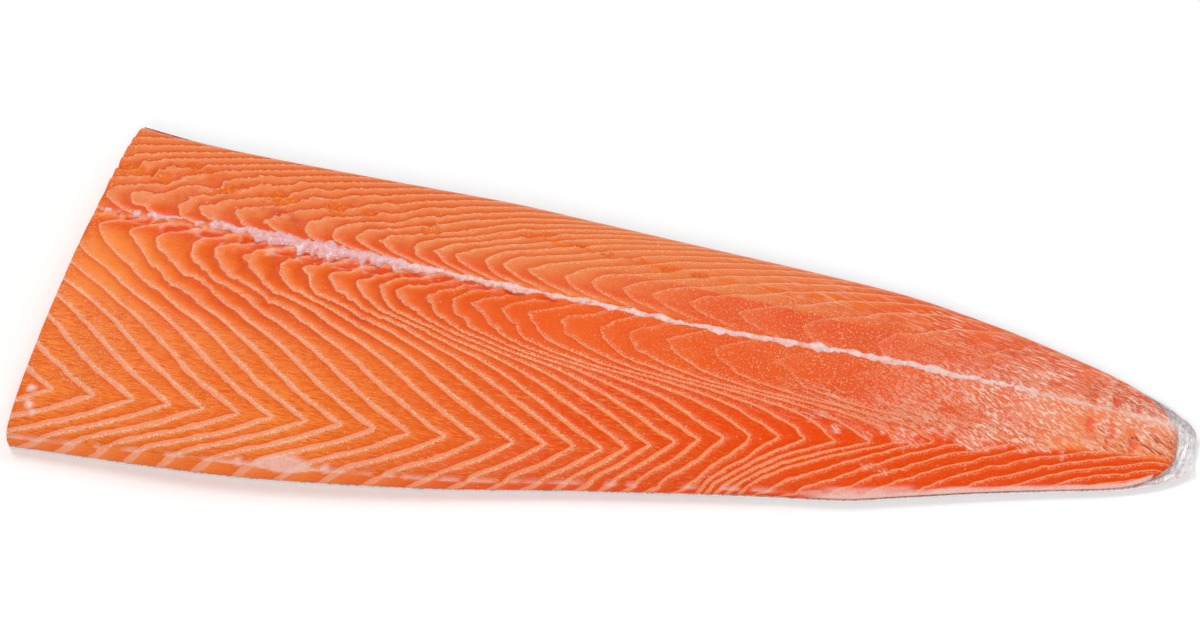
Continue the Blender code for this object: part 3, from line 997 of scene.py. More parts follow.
# Wet blobs near the head cut, raised and painted white as highlights.
PAINTED_HIGHLIGHT_BLOBS = Spots(((4.8, -68.4, 1.3, 1.0), (6.0, -73.3, 1.2, 1.2), (7.6, -75.6, 0.6, 0.6)), 0.5)


@dataclass(frozen=True)
class Relief:
    """Relief of the cut surface, in millimetres."""

    groove_depth: float = 0.14
    shingle_step: float = 1.0
    shingles_end: float = 150.0
    inner_step: float = 0.9
    full_relief_above: float = 5.0
    furrow: Knots = ((0, 0.8), (200, 0.6), (300, 0.3), (345, 0))
    furrow_width: float = 6.0
    pocket_depth: float = 0.9
    pit_depth: float = 1.3
    stroke_depth: float = 0.5

    def flakes(self, number: Array, x: Array, share: Array) -> Array:
        """Grooves at the septa, and flakes whose raised head-side edge overlaps the last.

        Args:
            number: Flake number at each place.
            x: X of each place.
            share: Share of the way from the midline to the edge at each place.

        Returns:
            Height in millimetres.
        """
        phase = number - np.floor(number)
        groove = self.groove_depth * (4 * phase * (1 - phase) - 1)
        on_back = smooth_step(0.06, 0.2, share) * (1 - 0.75 * smooth_step(60, self.shingles_end, x))
        way = np.clip(-share, 0, 1)
        on_belly = band(0.05, 0.1, 0.3, 0.5, way)
        on_belly = on_belly * smooth_step(10, 50, x) * (1 - 0.8 * smooth_step(110, 200, x))
        step = self.shingle_step * on_back + self.inner_step * on_belly
        return groove * (1 - np.maximum(on_back, on_belly)) - step * phase

    def furrow_depth(self, x: Array, y: Array) -> Array:
        """Depth of the furrow along the middle."""
        return curve(self.furrow, x) * np.exp(-(y / self.furrow_width) ** 2)

    def height(self, number: Array, x: Array, y: Array, share: Array) -> Array:
        """All of the relief at each place.

        Args:
            number: Flake number at each place.
            x: X of each place.
            y: Y of each place.
            share: Share of the way from the midline to the edge at each place.

        Returns:
            Height in millimetres.
        """
        lumps = 0.14 * soft_noise(x, y, 9.0, 11) + 0.08 * soft_noise(x, y, 3.1, 12)
        relief = self.flakes(number, x, share) - self.furrow_depth(x, y) + lumps
        relief -= self.pocket_depth * POCKETS.inside(x, y, 0.3)
        relief -= self.pit_depth * PITS.inside(x, y, 0.5)
        relief -= self.stroke_depth * SHADED_GROOVES.inside(x, y, 0.5)
        relief += 0.5 * PAINTED_HIGHLIGHT_BLOBS.inside(x, y, 0.6)
        return relief


@dataclass(frozen=True)
class Flesh:
    """The flesh: a fine closed surface over the solid's form, with its fat lines and flakes."""

    relief: Relief = Relief()
    finish: FleshFinish = FleshFinish()
    cut_finish: CutFaceFinish = CutFaceFinish()
    column_step: float = 0.8
    row_step: float = 0.78
    edge_columns: tuple[float, ...] = (0.0, 0.12, 0.3, 0.55, 0.9)
    edge_round: float = 0.6
    wrap_degrees: tuple[float, ...] = (2, 4, 6, 9, 15, 25, 40, 60, 90)
    wall_rows: int = 8
    streak: Knots = ((150, 20.5), (172, 19.2), (205, 18.2), (235, 18.4), (250, 20.6), (282, 18.2))
    line_by_way: Knots = ((0, 0.2), (0.3, 0.23), (0.5, 0.42), (0.72, 0.7), (1, 0.74), (1.5, 0.76))
    line_by_x: Knots = ((0, 1.05), (60, 1.0), (120, 0.95), (200, 0.7), (250, 0.48), (300, 0.3), (370, 0.24))
    line_strength: Knots = ((0, 0.7), (0.4, 0.75), (0.65, 0.95), (1.5, 0.95))
    line_on_wall: float = 1.6
    back_line: float = 0.24
    deep_border: Knots = ((0, 0.4), (150, 0.32), (230, 0.32), (285, 0.54), (370, 0.58))
    wall_lean: float = 0.45
    wall_bulge: float = 0.25
    tail_fall: float = 4.0
    end_height: float = 0.15

    def build(self) -> bpy.types.Object:
        """Build the flesh and give it its materials.

        Returns:
            The flesh.
        """
        x, y, shares = self.top_places()
        numbers = self.bent_numbers(x, y)
        points = self.ring_points(x, y, shares, numbers)
        attributes = self.regions(points, x, y, shares, numbers)
        made = tube("flesh_surface", points, attributes, Face.CUT)
        made.data.materials.append(self.finish.material())
        made.data.materials.append(self.cut_finish.material())
        made.data.set_sharp_from_angle(angle=np.radians(60))
        return made

    def top_places(self) -> tuple[Array, Array, Array]:
        """X and y of the top's points, and the share of each row, from belly edge to back edge.

        Returns:
            X and y of each point, and the share of each row.
        """
        belly, back = PLAN.flesh_edges(np.float64(0.0))
        shares = np.concatenate([
            np.linspace(-1, 0, round(-belly / self.row_step), endpoint=False),
            np.linspace(0, 1, round(back / self.row_step) + 1),
        ])
        start = self.edge_columns[-1]
        count = round((PLAN.flesh_end - start) / self.column_step)
        stations = np.concatenate([self.edge_columns[:-1], np.linspace(start, PLAN.flesh_end, count)])
        x = np.tile(stations, (len(shares), 1))
        for _ in range(4):
            y = self.row_y(x, shares)
            x = stations + PLAN.cut_x(y) * (1 - stations / PLAN.flesh_end)
        return x, self.row_y(x, shares), shares

    def row_y(self, x: Array, shares: Array) -> Array:
        """Y of each row at x.

        Args:
            x: X of each place.
            shares: Share of each row, from -1 at the belly edge to 1 at the back edge.

        Returns:
            Y of each point.
        """
        belly, back = PLAN.flesh_edges(x)
        share = shares[:, None]
        return np.where(share < 0, -share * belly, share * back)

    def bent_numbers(self, x: Array, y: Array) -> Array:
        """Flake number of each place, with the small bends that real septa have.

        Args:
            x: X of each place.
            y: Y of each place.

        Returns:
            The numbers.
        """
        numbers = PLAN.flake_numbers(x, y)
        share = PLAN.open_share(x, y)
        rough = band(0.03, 0.15, 0.6, 0.85, share)
        rough = rough * (1 - 0.7 * smooth_step(90, 190, x))
        inner = smooth_step(0.02, 0.08, -share) * (1 - smooth_step(0.25, 0.45, -share))
        inner = inner * smooth_step(5, 40, x) * (1 - 0.6 * smooth_step(150, 220, x))
        bend = 0.045 * soft_noise(x, y, 11.0, 21) + 0.03 * soft_noise(x, y, 4.2, 22)
        torn = 0.3 * soft_noise(x, y, 8.0, 23) + 0.16 * soft_noise(x, y, 3.0, 24)
        torn += 0.1 * soft_noise(x, y, 1.4, 25)
        low = smooth_step(0.5, 0.62, -share) * smooth_step(180, 240, x)
        wavy = 0.14 * soft_noise(x, y, 7.0, 26) + 0.09 * soft_noise(x, y, 2.8, 27)
        return numbers + bend + (rough + 0.8 * inner) * torn + low * wavy

    def ring_points(self, x: Array, y: Array, shares: Array, numbers: Array) -> Array:
        """Plan places of the whole section: top, back wrap, underside and belly wall.

        Args:
            x: X of each place.
            y: Y of each place.
            shares: Share of each row, from -1 at the belly edge to 1 at the back edge.
            numbers: Flake number at each place.

        Returns:
            The places, by row round the section and by station.
        """
        top = self.top_heights(x, y, shares, numbers)
        back = self.back_rows(x[-1], y[-1], top[-1])
        belly = self.belly_rows(x[0], y[0], top[0], back[-1, :, 1])
        return np.concatenate([np.stack([x, y, top], axis=-1), back, belly])

    def top_heights(self, x: Array, y: Array, shares: Array, numbers: Array) -> Array:
        """Height of the cut surface with its relief, rounded off at both ends.

        Args:
            x: X of each place.
            y: Y of each place.
            shares: Share of each row, from -1 at the belly edge to 1 at the back edge.
            numbers: Flake number at each place.

        Returns:
            Height at each place.
        """
        share = shares[:, None]
        top = PLAN.smooth_top(x, y)
        fade = 1 - smooth_step(0.9, 1.0, np.abs(share)) * np.where(share > 0, 1.0, 0.6)
        fade = fade * smooth_step(PLAN.skin, self.relief.full_relief_above, top)
        top = top + self.relief.height(numbers, x, y, PLAN.open_share(x, y)) * fade
        station = x - PLAN.cut_x(y) * (1 - x / PLAN.flesh_end)
        inward = np.clip(1 - station / self.edge_round, 0, 1)
        top = top - self.edge_round * (1 - np.sqrt(1 - inward ** 2))
        left = np.clip((PLAN.flesh_end - x) / self.tail_fall, 0, 1)
        low = PLAN.skin + self.end_height
        return low + (top - low) * np.sqrt(1 - (1 - left) ** 2)

    def back_rows(self, x: Array, y: Array, top: Array) -> Array:
        """Rows that turn from the top's rim down the back edge, inside the skin.

        Args:
            x: X of each point of the rim.
            y: Y of each point of the rim.
            top: Height of each point of the rim.

        Returns:
            The places, by row and by station.
        """
        floor, lip = PLAN.skin, curve(PLAN.lip, x)
        height_share = np.clip((top - floor) / (curve(PLAN.back_rim, x) - floor), 0, 1)
        width_share = y / PLAN.back_wrap(x, 0.0, lip)[0]
        rows = []
        for degrees in self.wrap_degrees:
            inside = lip + (floor - lip) * smooth_step(3, 9, degrees)
            wrap_y, wrap_z = PLAN.back_wrap(x, degrees, inside)
            height = floor + (np.maximum(wrap_z, floor) - floor) * height_share
            rows.append(np.stack([x, wrap_y * width_share, height], axis=-1))
        return np.array(rows)

    def belly_rows(self, x: Array, y: Array, top: Array, back_y: Array) -> Array:
        """Row on the skin before the belly wall, and the rows up the wall.

        Args:
            x: X of each point of the wall's rim.
            y: Y of each point of the wall's rim.
            top: Height of each point of the wall's rim.
            back_y: Y of the last row under the back edge, by station.

        Returns:
            The places, by row and by station.
        """
        floor = PLAN.skin
        foot = np.minimum(floor + PLAN.foot_rise * curve(PLAN.belly_curl, x), top - 0.1)
        foot_y = np.minimum(y + PLAN.belly_curl_reach, y * 0.5 + back_y * 0.5)
        rows = [np.stack([x, foot_y, np.full_like(x, floor)], axis=-1)]
        for up in np.arange(self.wall_rows) / self.wall_rows:
            bulge = self.wall_bulge * np.sin(np.pi * up)
            rows.append(np.stack([x, y - bulge, foot + (top - foot) * up], axis=-1))
        return np.array(rows)

    def regions(self, points: Array, x: Array, y: Array, shares: Array, numbers: Array) -> dict[str, Array]:
        """Attributes that tell the finish what lies where.

        Args:
            points: Plan places of the rings.
            x: X of each place.
            y: Y of each place.
            shares: Share of each row, from -1 at the belly edge to 1 at the back edge.
            numbers: Flake number at each place.

        Returns:
            Each attribute by name.
        """
        rows, columns = points.shape[:2]
        wrap = len(self.wrap_degrees)
        drop = np.concatenate([np.zeros(len(shares) + wrap), [1.0],
                               1 - np.arange(self.wall_rows) / self.wall_rows])[:, None]
        source = [len(shares) - 1] * wrap + [0] * (self.wall_rows + 1)
        every = np.concatenate([np.arange(len(shares)), np.array(source)])
        wall = np.broadcast_to(drop, (rows, columns))
        number = numbers[every] + self.wall_lean * drop
        x, y = x[every], y[every]
        share = PLAN.open_share(x, y)
        height = points[0, :, 2] - points[-self.wall_rows, :, 2]
        edge = np.where(wall > 0, wall * height, y - PLAN.flesh_edges(x)[0])
        steep = self.steepness(points, number)
        flake = np.stack([number, steep, self.shade_field(x, share)], axis=-1)
        return {"flake": flake, "fat": self.fat_field(number, x, share, wall),
                "tone": self.tone_field(x, y, share),
                "surface": self.surface_field(x, y, share, edge, wall),
                "tail": self.tail_field(x, y, share), "marks": self.marks_field(x, y, share)}

    def steepness(self, points: Array, number: Array) -> Array:
        """How fast the flake number changes over the surface, in flakes a millimetre.

        Args:
            points: Plan places of the rings.
            number: Flake number at each place.

        Returns:
            Flakes a millimetre at each place.
        """
        across, along = np.gradient(points, axis=0), np.gradient(points, axis=1)
        by_row, by_column = np.gradient(number, axis=0), np.gradient(number, axis=1)
        a, b, c = (across ** 2).sum(-1), (across * along).sum(-1), (along ** 2).sum(-1)
        area = np.maximum(a * c - b * b, 1e-4)
        steep = (c * by_row ** 2 - 2 * b * by_row * by_column + a * by_column ** 2) / area
        return np.clip(np.sqrt(np.maximum(steep, 0)), 0.03, 2.5)

    def fat_field(self, number: Array, x: Array, share: Array, wall: Array) -> Array:
        """Half-width of the fat line in millimetres, its strength, and how ragged its edge is.

        Args:
            number: Flake number at each place.
            x: X of each place.
            share: Share of the way from the midline to the edge at each place.
            wall: How far down the belly wall each place is, 0 on the top.

        Returns:
            The three as one vector for each place.
        """
        way = np.clip(-share, 0, 1) / PLAN.apex_share(number)
        ragged = np.where(share < 0, 0.3 + 0.3 * np.clip(way, 0, 1), 0.34)
        ragged = ragged * (1 - 0.5 * smooth_step(150, 250, x)) * np.where(wall > 0, 0.4, 1.0)
        return np.stack([self.line_widths(x, share, way, wall), self.line_strengths(x, share, way), ragged],
                        axis=-1)

    def far_back(self, x: Array, share: Array) -> Array:
        """How far each place is in the outer part of the back half, from the middle to the tail."""
        return smooth_step(180, 230, x) * smooth_step(0.3, 0.5, share)

    def line_widths(self, x: Array, share: Array, way: Array, wall: Array) -> Array:
        """Half-width of the fat line at each place.

        Args:
            x: X of each place.
            share: Share of the way from the midline to the edge at each place.
            way: Share of the way from the midline to the flake's V, on the belly half.
            wall: How far down the belly wall each place is, 0 on the top.

        Returns:
            Half-width in millimetres.
        """
        belly = curve(self.line_by_way, way) * curve(self.line_by_x, x)
        belly = belly * np.where(wall > 0, self.line_on_wall, 1.0)
        belly = belly * (1 - 0.35 * smooth_step(105, 150, x) * (1 - smooth_step(0.5, 0.65, way)))
        belly = belly + 0.2 * (1 - smooth_step(0.25, 0.4, way)) * band(20, 45, 90, 120, x)
        back = self.back_line - 0.05 * smooth_step(90, 160, x) + 0.12 * self.far_back(x, share)
        return np.where(share < 0, belly, back)

    def line_strengths(self, x: Array, share: Array, way: Array) -> Array:
        """Strength of the fat line at each place.

        Args:
            x: X of each place.
            share: Share of the way from the midline to the edge at each place.
            way: Share of the way from the midline to the flake's V, on the belly half.

        Returns:
            Strength from 0 to 1.
        """
        belly = curve(self.line_strength, way)
        belly = belly * (1 - 0.3 * smooth_step(100, 150, x) * (way < 0.35))
        inner_fade = smooth_step(200, 260, x) * (1 - smooth_step(0.45, 0.7, way))
        belly = belly * (1 - 0.75 * inner_fade) * (1 - 0.3 * smooth_step(300, 345, x))
        back = 0.62 - 0.14 * smooth_step(100, 160, x)
        back = back - 0.26 * smooth_step(190, 260, x) * (1 - smooth_step(0.5, 0.75, share))
        near_head = 1 - smooth_step(90, 150, x)
        back = back * (0.45 + 0.55 * smooth_step(0.16, 0.22, share) + 0.3 * near_head)
        back = back + 0.25 * self.far_back(x, share)
        back = back * (1 - 0.5 * smooth_step(290, 330, x))
        broken = 0.8 + 0.35 * soft_noise(x, 3 * share, 5.0, 35) + 0.2 * soft_noise(x, 9 * share, 2.4, 36)
        broken = 1 + (broken - 1) * (1 - smooth_step(0.4, 0.6, way))
        return np.clip(np.where(share < 0, belly, back) * broken, 0, 1)

    def shade_field(self, x: Array, share: Array) -> Array:
        """How strongly the painted shade deepens each flake toward the next one; a share of it paints its
        crest highlight.

        Args:
            x: X of each place.
            share: Share of the way from the midline to the edge at each place.

        Returns:
            The share of the shading.
        """
        back = 0.66 - 0.46 * smooth_step(110, 200, x)
        way = np.clip(-share, 0, 1)
        inner = 0.5 * smooth_step(15, 60, x) * (1 - smooth_step(0.35, 0.6, way))
        fade = smooth_step(105, 165, x) * (1 - smooth_step(0.38, 0.6, way))
        belly = (0.4 + inner) * (1 - 0.85 * fade) * (1 - 0.75 * smooth_step(200, 260, x))
        return np.where(share > 0, back, belly)

    def tone_field(self, x: Array, y: Array, share: Array) -> Array:
        """How deep, how coral and how yellow the flesh is.

        Args:
            x: X of each place.
            y: Y of each place.
            share: Share of the way from the midline to the edge at each place.

        Returns:
            The three as one vector for each place.
        """
        past_border = np.clip(-share, 0, 1) - curve(self.deep_border, x)
        centre = smooth_step(170, 300, x) * (1 - smooth_step(-0.25, 0.0, past_border))
        coral = np.where(share > 0, 0.8 - 0.3 * self.back_lobe(x, share), 0.12 + 0.2 * centre)
        return np.stack([self.deepness(x, y, share), coral, self.yellowness(x, y)], axis=-1)

    def back_lobe(self, x: Array, share: Array) -> Array:
        """How far each place is in the outer flesh of the back half, near the tail."""
        return smooth_step(235, 280, x) * smooth_step(0.2, 0.4, share)

    def deepness(self, x: Array, y: Array, share: Array) -> Array:
        """How deep the orange is: low on the belly half, beside the midline, in the centre, and as painted
        shade in the tail's pressed grooves.

        Args:
            x: X of each place.
            y: Y of each place.
            share: Share of the way from the midline to the edge at each place.

        Returns:
            Share of the deep shade.
        """
        way = np.clip(-share, 0, 1)
        past_border = way - curve(self.deep_border, x)
        low = smooth_step(-0.06, 0.08, past_border) * (0.15 + 0.8 * smooth_step(80, 200, x))
        inner = band(15, 60, 190, 250, x) * (1 - smooth_step(0.35, 0.6, way))
        inner = inner * (share < 0) * (0.45 + 0.25 * smooth_step(100, 170, x))
        beside = np.exp(-((np.abs(y + 0.5) - 4.2) / 2.4) ** 2) * (1 - 0.5 * smooth_step(200, 330, x)) * 0.7
        centre = 0.78 * band(150, 230, 300, 345, x) * (share < 0.35)
        # Deep orange in the tail's pressed grooves is painted shade.
        deep = np.maximum.reduce([
            low, inner, beside, POCKETS.inside(x, y, 0.25), 0.8 * SHADED_GROOVES.inside(x, y, 0.6),
            0.75 * SMOOTH_PATCH.inside(x, y, 0.6), centre, 0.6 * self.back_lobe(x, share),
        ])
        return np.clip(deep + 0.12 * soft_noise(x, y, 14.0, 31) * (deep < 0.95), 0, 1)

    def yellowness(self, x: Array, y: Array) -> Array:
        """How yellow the flesh is: in the pits, along the streak and beside the head cut.

        Args:
            x: X of each place.
            y: Y of each place.

        Returns:
            Share of the yellow shade.
        """
        streak = np.exp(-((y - curve(self.streak, x)) / 1.2) ** 2) * smooth_step(150, 158, x)
        streak = streak * smooth_step(-0.3, 0.1, soft_noise(x, 0 * y, 5.0, 33))
        streak = streak * (1 - smooth_step(275, 300, x))
        beside_cut = 1 - smooth_step(0, 5, x - PLAN.cut_x(y))
        return np.maximum.reduce([PITS.inside(x, y, 0.3), 0.95 * streak, 0.7 * beside_cut])

    def surface_field(self, x: Array, y: Array, share: Array, edge: Array, wall: Array) -> Array:
        """How much grain, film and fibre shows.

        Args:
            x: X of each place.
            y: Y of each place.
            share: Share of the way from the midline to the edge at each place.
            edge: Distance from the rim of the belly wall.
            wall: How far down the belly wall each place is, 0 on the top.

        Returns:
            The three as one vector for each place.
        """
        grain = self.graininess(x, y, share)
        film = self.film_cover(x, y, share, edge, wall)
        fibre = smooth_step(0.3, 0.6, -share) * (1 - smooth_step(180, 250, x)) + 0.25
        fibre = np.maximum(fibre, smooth_step(280, 320, x) * smooth_step(0.05, 0.2, share))
        return np.stack([grain, film, np.where(wall > 0, 0.4, fibre)], axis=-1)

    def graininess(self, x: Array, y: Array, share: Array) -> Array:
        """How grainy the surface is: in the centre, in patches near the head, and in the pits; its pale
        dots partly stand for painted sparkle highlights.

        Args:
            x: X of each place.
            y: Y of each place.
            share: Share of the way from the midline to the edge at each place.

        Returns:
            Share of the grain.
        """
        middle = smooth_step(150, 270, x) * (1 - smooth_step(0.42, 0.6, np.abs(share)))
        patches = smooth_step(0.0, 0.6, soft_noise(x, y, 20.0, 41))
        near_head = (1 - smooth_step(40, 130, x)) * smooth_step(0.2, 0.5, -share) * patches
        cut = 0.6 * (1 - smooth_step(1.5, 5, x - PLAN.cut_x(y)))
        grain = np.clip(np.maximum.reduce([0.85 * middle, 0.5 * near_head, cut]) + 0.12, 0, 1)
        grain = grain * (1 - 0.7 * smooth_step(295, 325, x)) * (1 - SHADED_GROOVES.inside(x, y, 0.5))
        return np.maximum(grain, 0.8 * PITS.inside(x, y, 0.4))

    def film_cover(self, x: Array, y: Array, share: Array, edge: Array, wall: Array) -> Array:
        """How much pale film covers the surface, which lies mostly along the lower edge; on the wet blobs
        it paints their highlights.

        Args:
            x: X of each place.
            y: Y of each place.
            share: Share of the way from the midline to the edge at each place.
            edge: Distance from the rim of the belly wall.
            wall: How far down the belly wall each place is, 0 on the top.

        Returns:
            Share of the film.
        """
        reach = np.maximum(0.6 + 1.7 * band(78, 84, 92, 106, x) + soft_noise(x, y, 4.0, 43), 0.15)
        first = smooth_step(64, 72, x) * (1 - smooth_step(103, 106, x + 1.5 * soft_noise(x, y, 2.5, 42)))
        first = first * (1 - smooth_step(0.6, 1.3, edge / reach))
        second = band(255, 262, 282, 288, x) * (1 - smooth_step(0.8, 2.2, edge))
        rim = np.exp(-(edge / 0.45) ** 2) * smooth_step(-0.5, 0.3, soft_noise(x, y, 3.0, 44))
        fray = 0.5 + 0.5 * soft_noise(x, 0 * y, 5.0, 45)
        hem = np.where(wall > 0, 1.0, 1 - smooth_step(0.5 * fray, 0.5 * fray + 0.5, edge))
        hem = hem * smooth_step(248, 262, x)
        walls = np.exp(-((POCKETS.nearness(x, y) - 1.18) / 0.16) ** 2) * (1 - smooth_step(95, 170, x))
        # Here only pale film along the midline groove near the tail.
        groove_shadow_and_film = np.exp(-((y - 0.2) / (0.7 + 1.6 * smooth_step(345, 364, x))) ** 2) * smooth_step(305, 335, x)
        low, lowest = share < -0.5, share < -0.8
        # The wet blobs take full film, as painted highlights.
        return np.maximum.reduce([
            0.7 * first * low, 0.6 * second * low, 0.6 * rim * lowest, 0.9 * hem * lowest, 0.4 * walls,
            0.6 * groove_shadow_and_film, PAINTED_HIGHLIGHT_BLOBS.inside(x, y, 0.5), 0.75 * NOTCH.inside(x, y, 0.4),
        ])

    def tail_field(self, x: Array, y: Array, share: Array) -> Array:
        """How wrinkled (shown as painted highlight strokes), how wet and how bloody the surface is.

        Args:
            x: X of each place.
            y: Y of each place.
            share: Share of the way from the midline to the edge at each place.

        Returns:
            The three as one vector for each place.
        """
        way = np.clip(-share, 0, 1)
        # Where pale strokes are drawn, as painted highlights on the tail's wrinkles.
        drawn = smooth_step(255, 312, x) * (1 - smooth_step(0.52, 0.62, way))
        drawn = drawn * (1 - 0.5 * smooth_step(0.5, 0.8, share))
        drawn = drawn * np.clip(0.75 + 0.45 * soft_noise(x, y, 9.0, 51), 0, 1)
        upper = smooth_step(0.05, 0.25, share) * (1 - smooth_step(330, 345, x))
        drawn = drawn * (1 - 0.85 * upper) * (1 - 0.8 * SHADED_GROOVES.inside(x, y, 0.5))
        drawn = drawn * (1 - 0.9 * SMOOTH_PATCH.inside(x, y, 0.5))
        drawn = np.maximum(drawn, 0.72 * SHEEN.inside(x, y, 0.7))
        wet = 0.32 + 0.68 * smooth_step(285, 330, x)
        wet = wet * (1 - 0.75 * smooth_step(0.5, 0.62, way) * smooth_step(160, 230, x))
        return np.stack([drawn, wet, 0.5 * BLOOD.inside(x, y, 0.7)], axis=-1)

    def marks_field(self, x: Array, y: Array, share: Array) -> Array:
        """How strongly long strands, patches of painted sheen and dark strokes of painted crease shade
        show.

        Args:
            x: X of each place.
            y: Y of each place.
            share: Share of the way from the midline to the edge at each place.

        Returns:
            The three as one vector for each place.
        """
        way = np.clip(-share, 0, 1)
        upper = np.maximum(smooth_step(270, 315, x) * smooth_step(0.04, 0.16, share),
                           0.7 * smooth_step(200, 250, x) * smooth_step(0.4, 0.55, share))
        lower = band(225, 260, 315, 335, x)
        lower = lower * band(0.2, 0.38, 0.52, 0.62, way)
        strand = np.maximum(upper, 0.8 * lower) * np.clip(0.8 + 0.5 * soft_noise(x, y, 12.0, 52), 0, 1)
        sheen = PAINTED_SHEEN_PATCHES.inside(x, y, 0.5)
        # Where dark strokes paint the shade in the tail's creases.
        lobe = smooth_step(336, 344, x) * band(0.12, 0.3, 0.5, 0.6, way)
        back_lobe = 0.5 * smooth_step(330, 338, x) * band(0.08, 0.2, 0.6, 0.8, share)
        return np.stack([strand, sheen, np.maximum(lobe, back_lobe)], axis=-1)


@dataclass(frozen=True)
class RibbonFinish:
    """Connective tissue along the middle: milky, translucent and lumpy, tinged with lilac."""

    name: str = "milky_connective_tissue"
    milk: str = "FFD4C8"
    lilac: str = "E2A0B0"
    tinge: str = "F08A62"
    glint: str = "FFF4F0"
    lumps: Mottle = Mottle(1.6, 0.4, 0.6, 2.0)
    thin: Mottle = Mottle(2.2, 0.52, 0.64, 2.0)
    dots: Mottle = Mottle(0.7, 0.56, 0.64, 1.0)

    def material(self) -> bpy.types.Material:
        """Make the material, which reads the ribbon attribute.

        Returns:
            The material.
        """
        made, shader, place = start_material(self.name)
        tree = made.node_tree
        edge, faint, glassy = field(tree, "ribbon")
        lump = self.lumps.add(tree, place)
        dot = self.dots.add(tree, place)
        thin = product(tree, self.thin.add(tree, place), 0.7)
        # The small dots are painted highlights.
        colour = painted(tree, self.milk, [
            (product(tree, glassy, 0.6), self.lilac), (product(tree, lump, 0.45), self.lilac),
            (thin, self.tinge), (edge, self.tinge),
            (faint, self.tinge), (product(tree, dot, 0.5), self.glint),
        ])
        dress(shader, colour, raised(tree, [(lump, 0.8), (dot, 1.0)], 0.7, 0.35), {
            "Roughness": 0.28, "IOR": 1.4, "Subsurface Weight": 0.4, "Subsurface Radius": (1.0, 0.7, 0.6),
            "Subsurface Scale": 1.0 * MM, "Coat Weight": 0.4, "Coat Roughness": 0.12,
        })
        return made


@dataclass(frozen=True)
class MidlineRibbon:
    """The pale ribbon along the middle, lumpy and broken near the head, with a bead a flake."""

    finish: RibbonFinish = RibbonFinish()
    relief: Relief = Relief()
    start: float = 8.5
    end: float = 350.0
    step: float = 0.35
    centre: Knots = ((8, 0.7), (23.6, 1.6), (40.8, 1.8), (58.2, 1.2), (75.7, -0.3), (109.4, -0.4),
                     (143, -1.1), (176.3, -1.4), (209.5, -2.2), (242, -0.9), (274.6, 0.2), (307.2, 0.9),
                     (320.2, 1.1), (339.8, 0.2), (360, 0))
    half_width: Knots = ((8, 1.1), (30, 1.1), (50, 1.4), (62, 2.1), (76, 2.7), (100, 2.2), (125, 1.4),
                         (170, 1.2), (210, 1.3), (250, 1.6), (285, 1.5), (310, 1.2), (330, 0.9), (350, 0.3))
    rise: Knots = ((8, 0.5), (50, 0.6), (76, 1.0), (110, 1.0), (150, 0.7), (300, 0.5), (350, 0.1))
    crown_points: int = 15
    sunk: float = 0.8

    def build(self) -> bpy.types.Object:
        """Build the ribbon and give it its material.

        Returns:
            The ribbon.
        """
        count = round((self.end - self.start) / self.step)
        stations = np.linspace(self.start, self.end, count)
        across = np.linspace(-1, 1, self.crown_points)[:, None]
        x = np.tile(stations, (self.crown_points, 1))
        side = np.sign(across) * 11.0
        notch = 0.5 * soft_noise(x, side, 3.4, 61) + 0.5 * soft_noise(x, side, 1.3, 62)
        bead = np.maximum(1.05 + notch + 0.4 * soft_noise(x, 0 * x, 4.6, 63), 0.25)
        gaps = smooth_step(-0.3, 0.2, soft_noise(x, 0 * x, 2.4, 64) + smooth_step(35, 62, x) * 1.4)
        half = curve(self.half_width, x) * bead * (0.25 + 0.75 * gaps) + self.spurs(x) * (across < 0)
        y = curve(self.centre, x) + 0.25 * soft_noise(x, 0 * x, 5.0, 65) + across * half
        bed = PLAN.smooth_top(x, y) - self.relief.furrow_depth(x, y)
        crown = curve(self.rise, x) * gaps * np.sqrt(1 - across ** 2)
        lumps = (0.22 * soft_noise(x, y, 2.0, 66) + 0.12 * soft_noise(x, y, 0.9, 67)) * (1 - across ** 2)
        top = bed + crown + lumps - 0.25 - 0.35 * across ** 2
        rows = [np.stack([x, y, top], axis=-1)]
        for at in (0.6, -0.6):
            low_y = curve(self.centre, stations) + at * half[self.crown_points // 2]
            low_z = top[self.crown_points // 2] - curve(self.rise, stations) - self.sunk
            rows.append(np.stack([stations, low_y, low_z], axis=-1)[None])
        points = np.concatenate(rows)
        edge = np.concatenate([0.6 * np.abs(np.tile(across, (1, count))) ** 3, np.ones((2, count))])
        faint = np.tile(0.55 * smooth_step(310, 350, stations), (len(points), 1))
        glassy = np.tile(1 - smooth_step(95, 130, stations), (len(points), 1))
        shares = np.stack([edge, faint, glassy], axis=-1)
        made = tube("midline_ribbon", points, {"ribbon": shares}, Face.SURFACE)
        made.data.materials.append(self.finish.material())
        return made

    def spurs(self, x: Array) -> Array:
        """Length of the short spurs that reach down between the pockets.

        Args:
            x: X of each place.

        Returns:
            Length in millimetres.
        """
        middles = np.array([oval[0] for oval in POCKETS.ovals])
        between = (middles[1:] + middles[:-1]) / 2
        nearest = np.abs(x[..., None] - between).min(axis=-1)
        return 1.6 * np.exp(-(nearest / 1.1) ** 2) * (1 - smooth_step(100, 165, x))


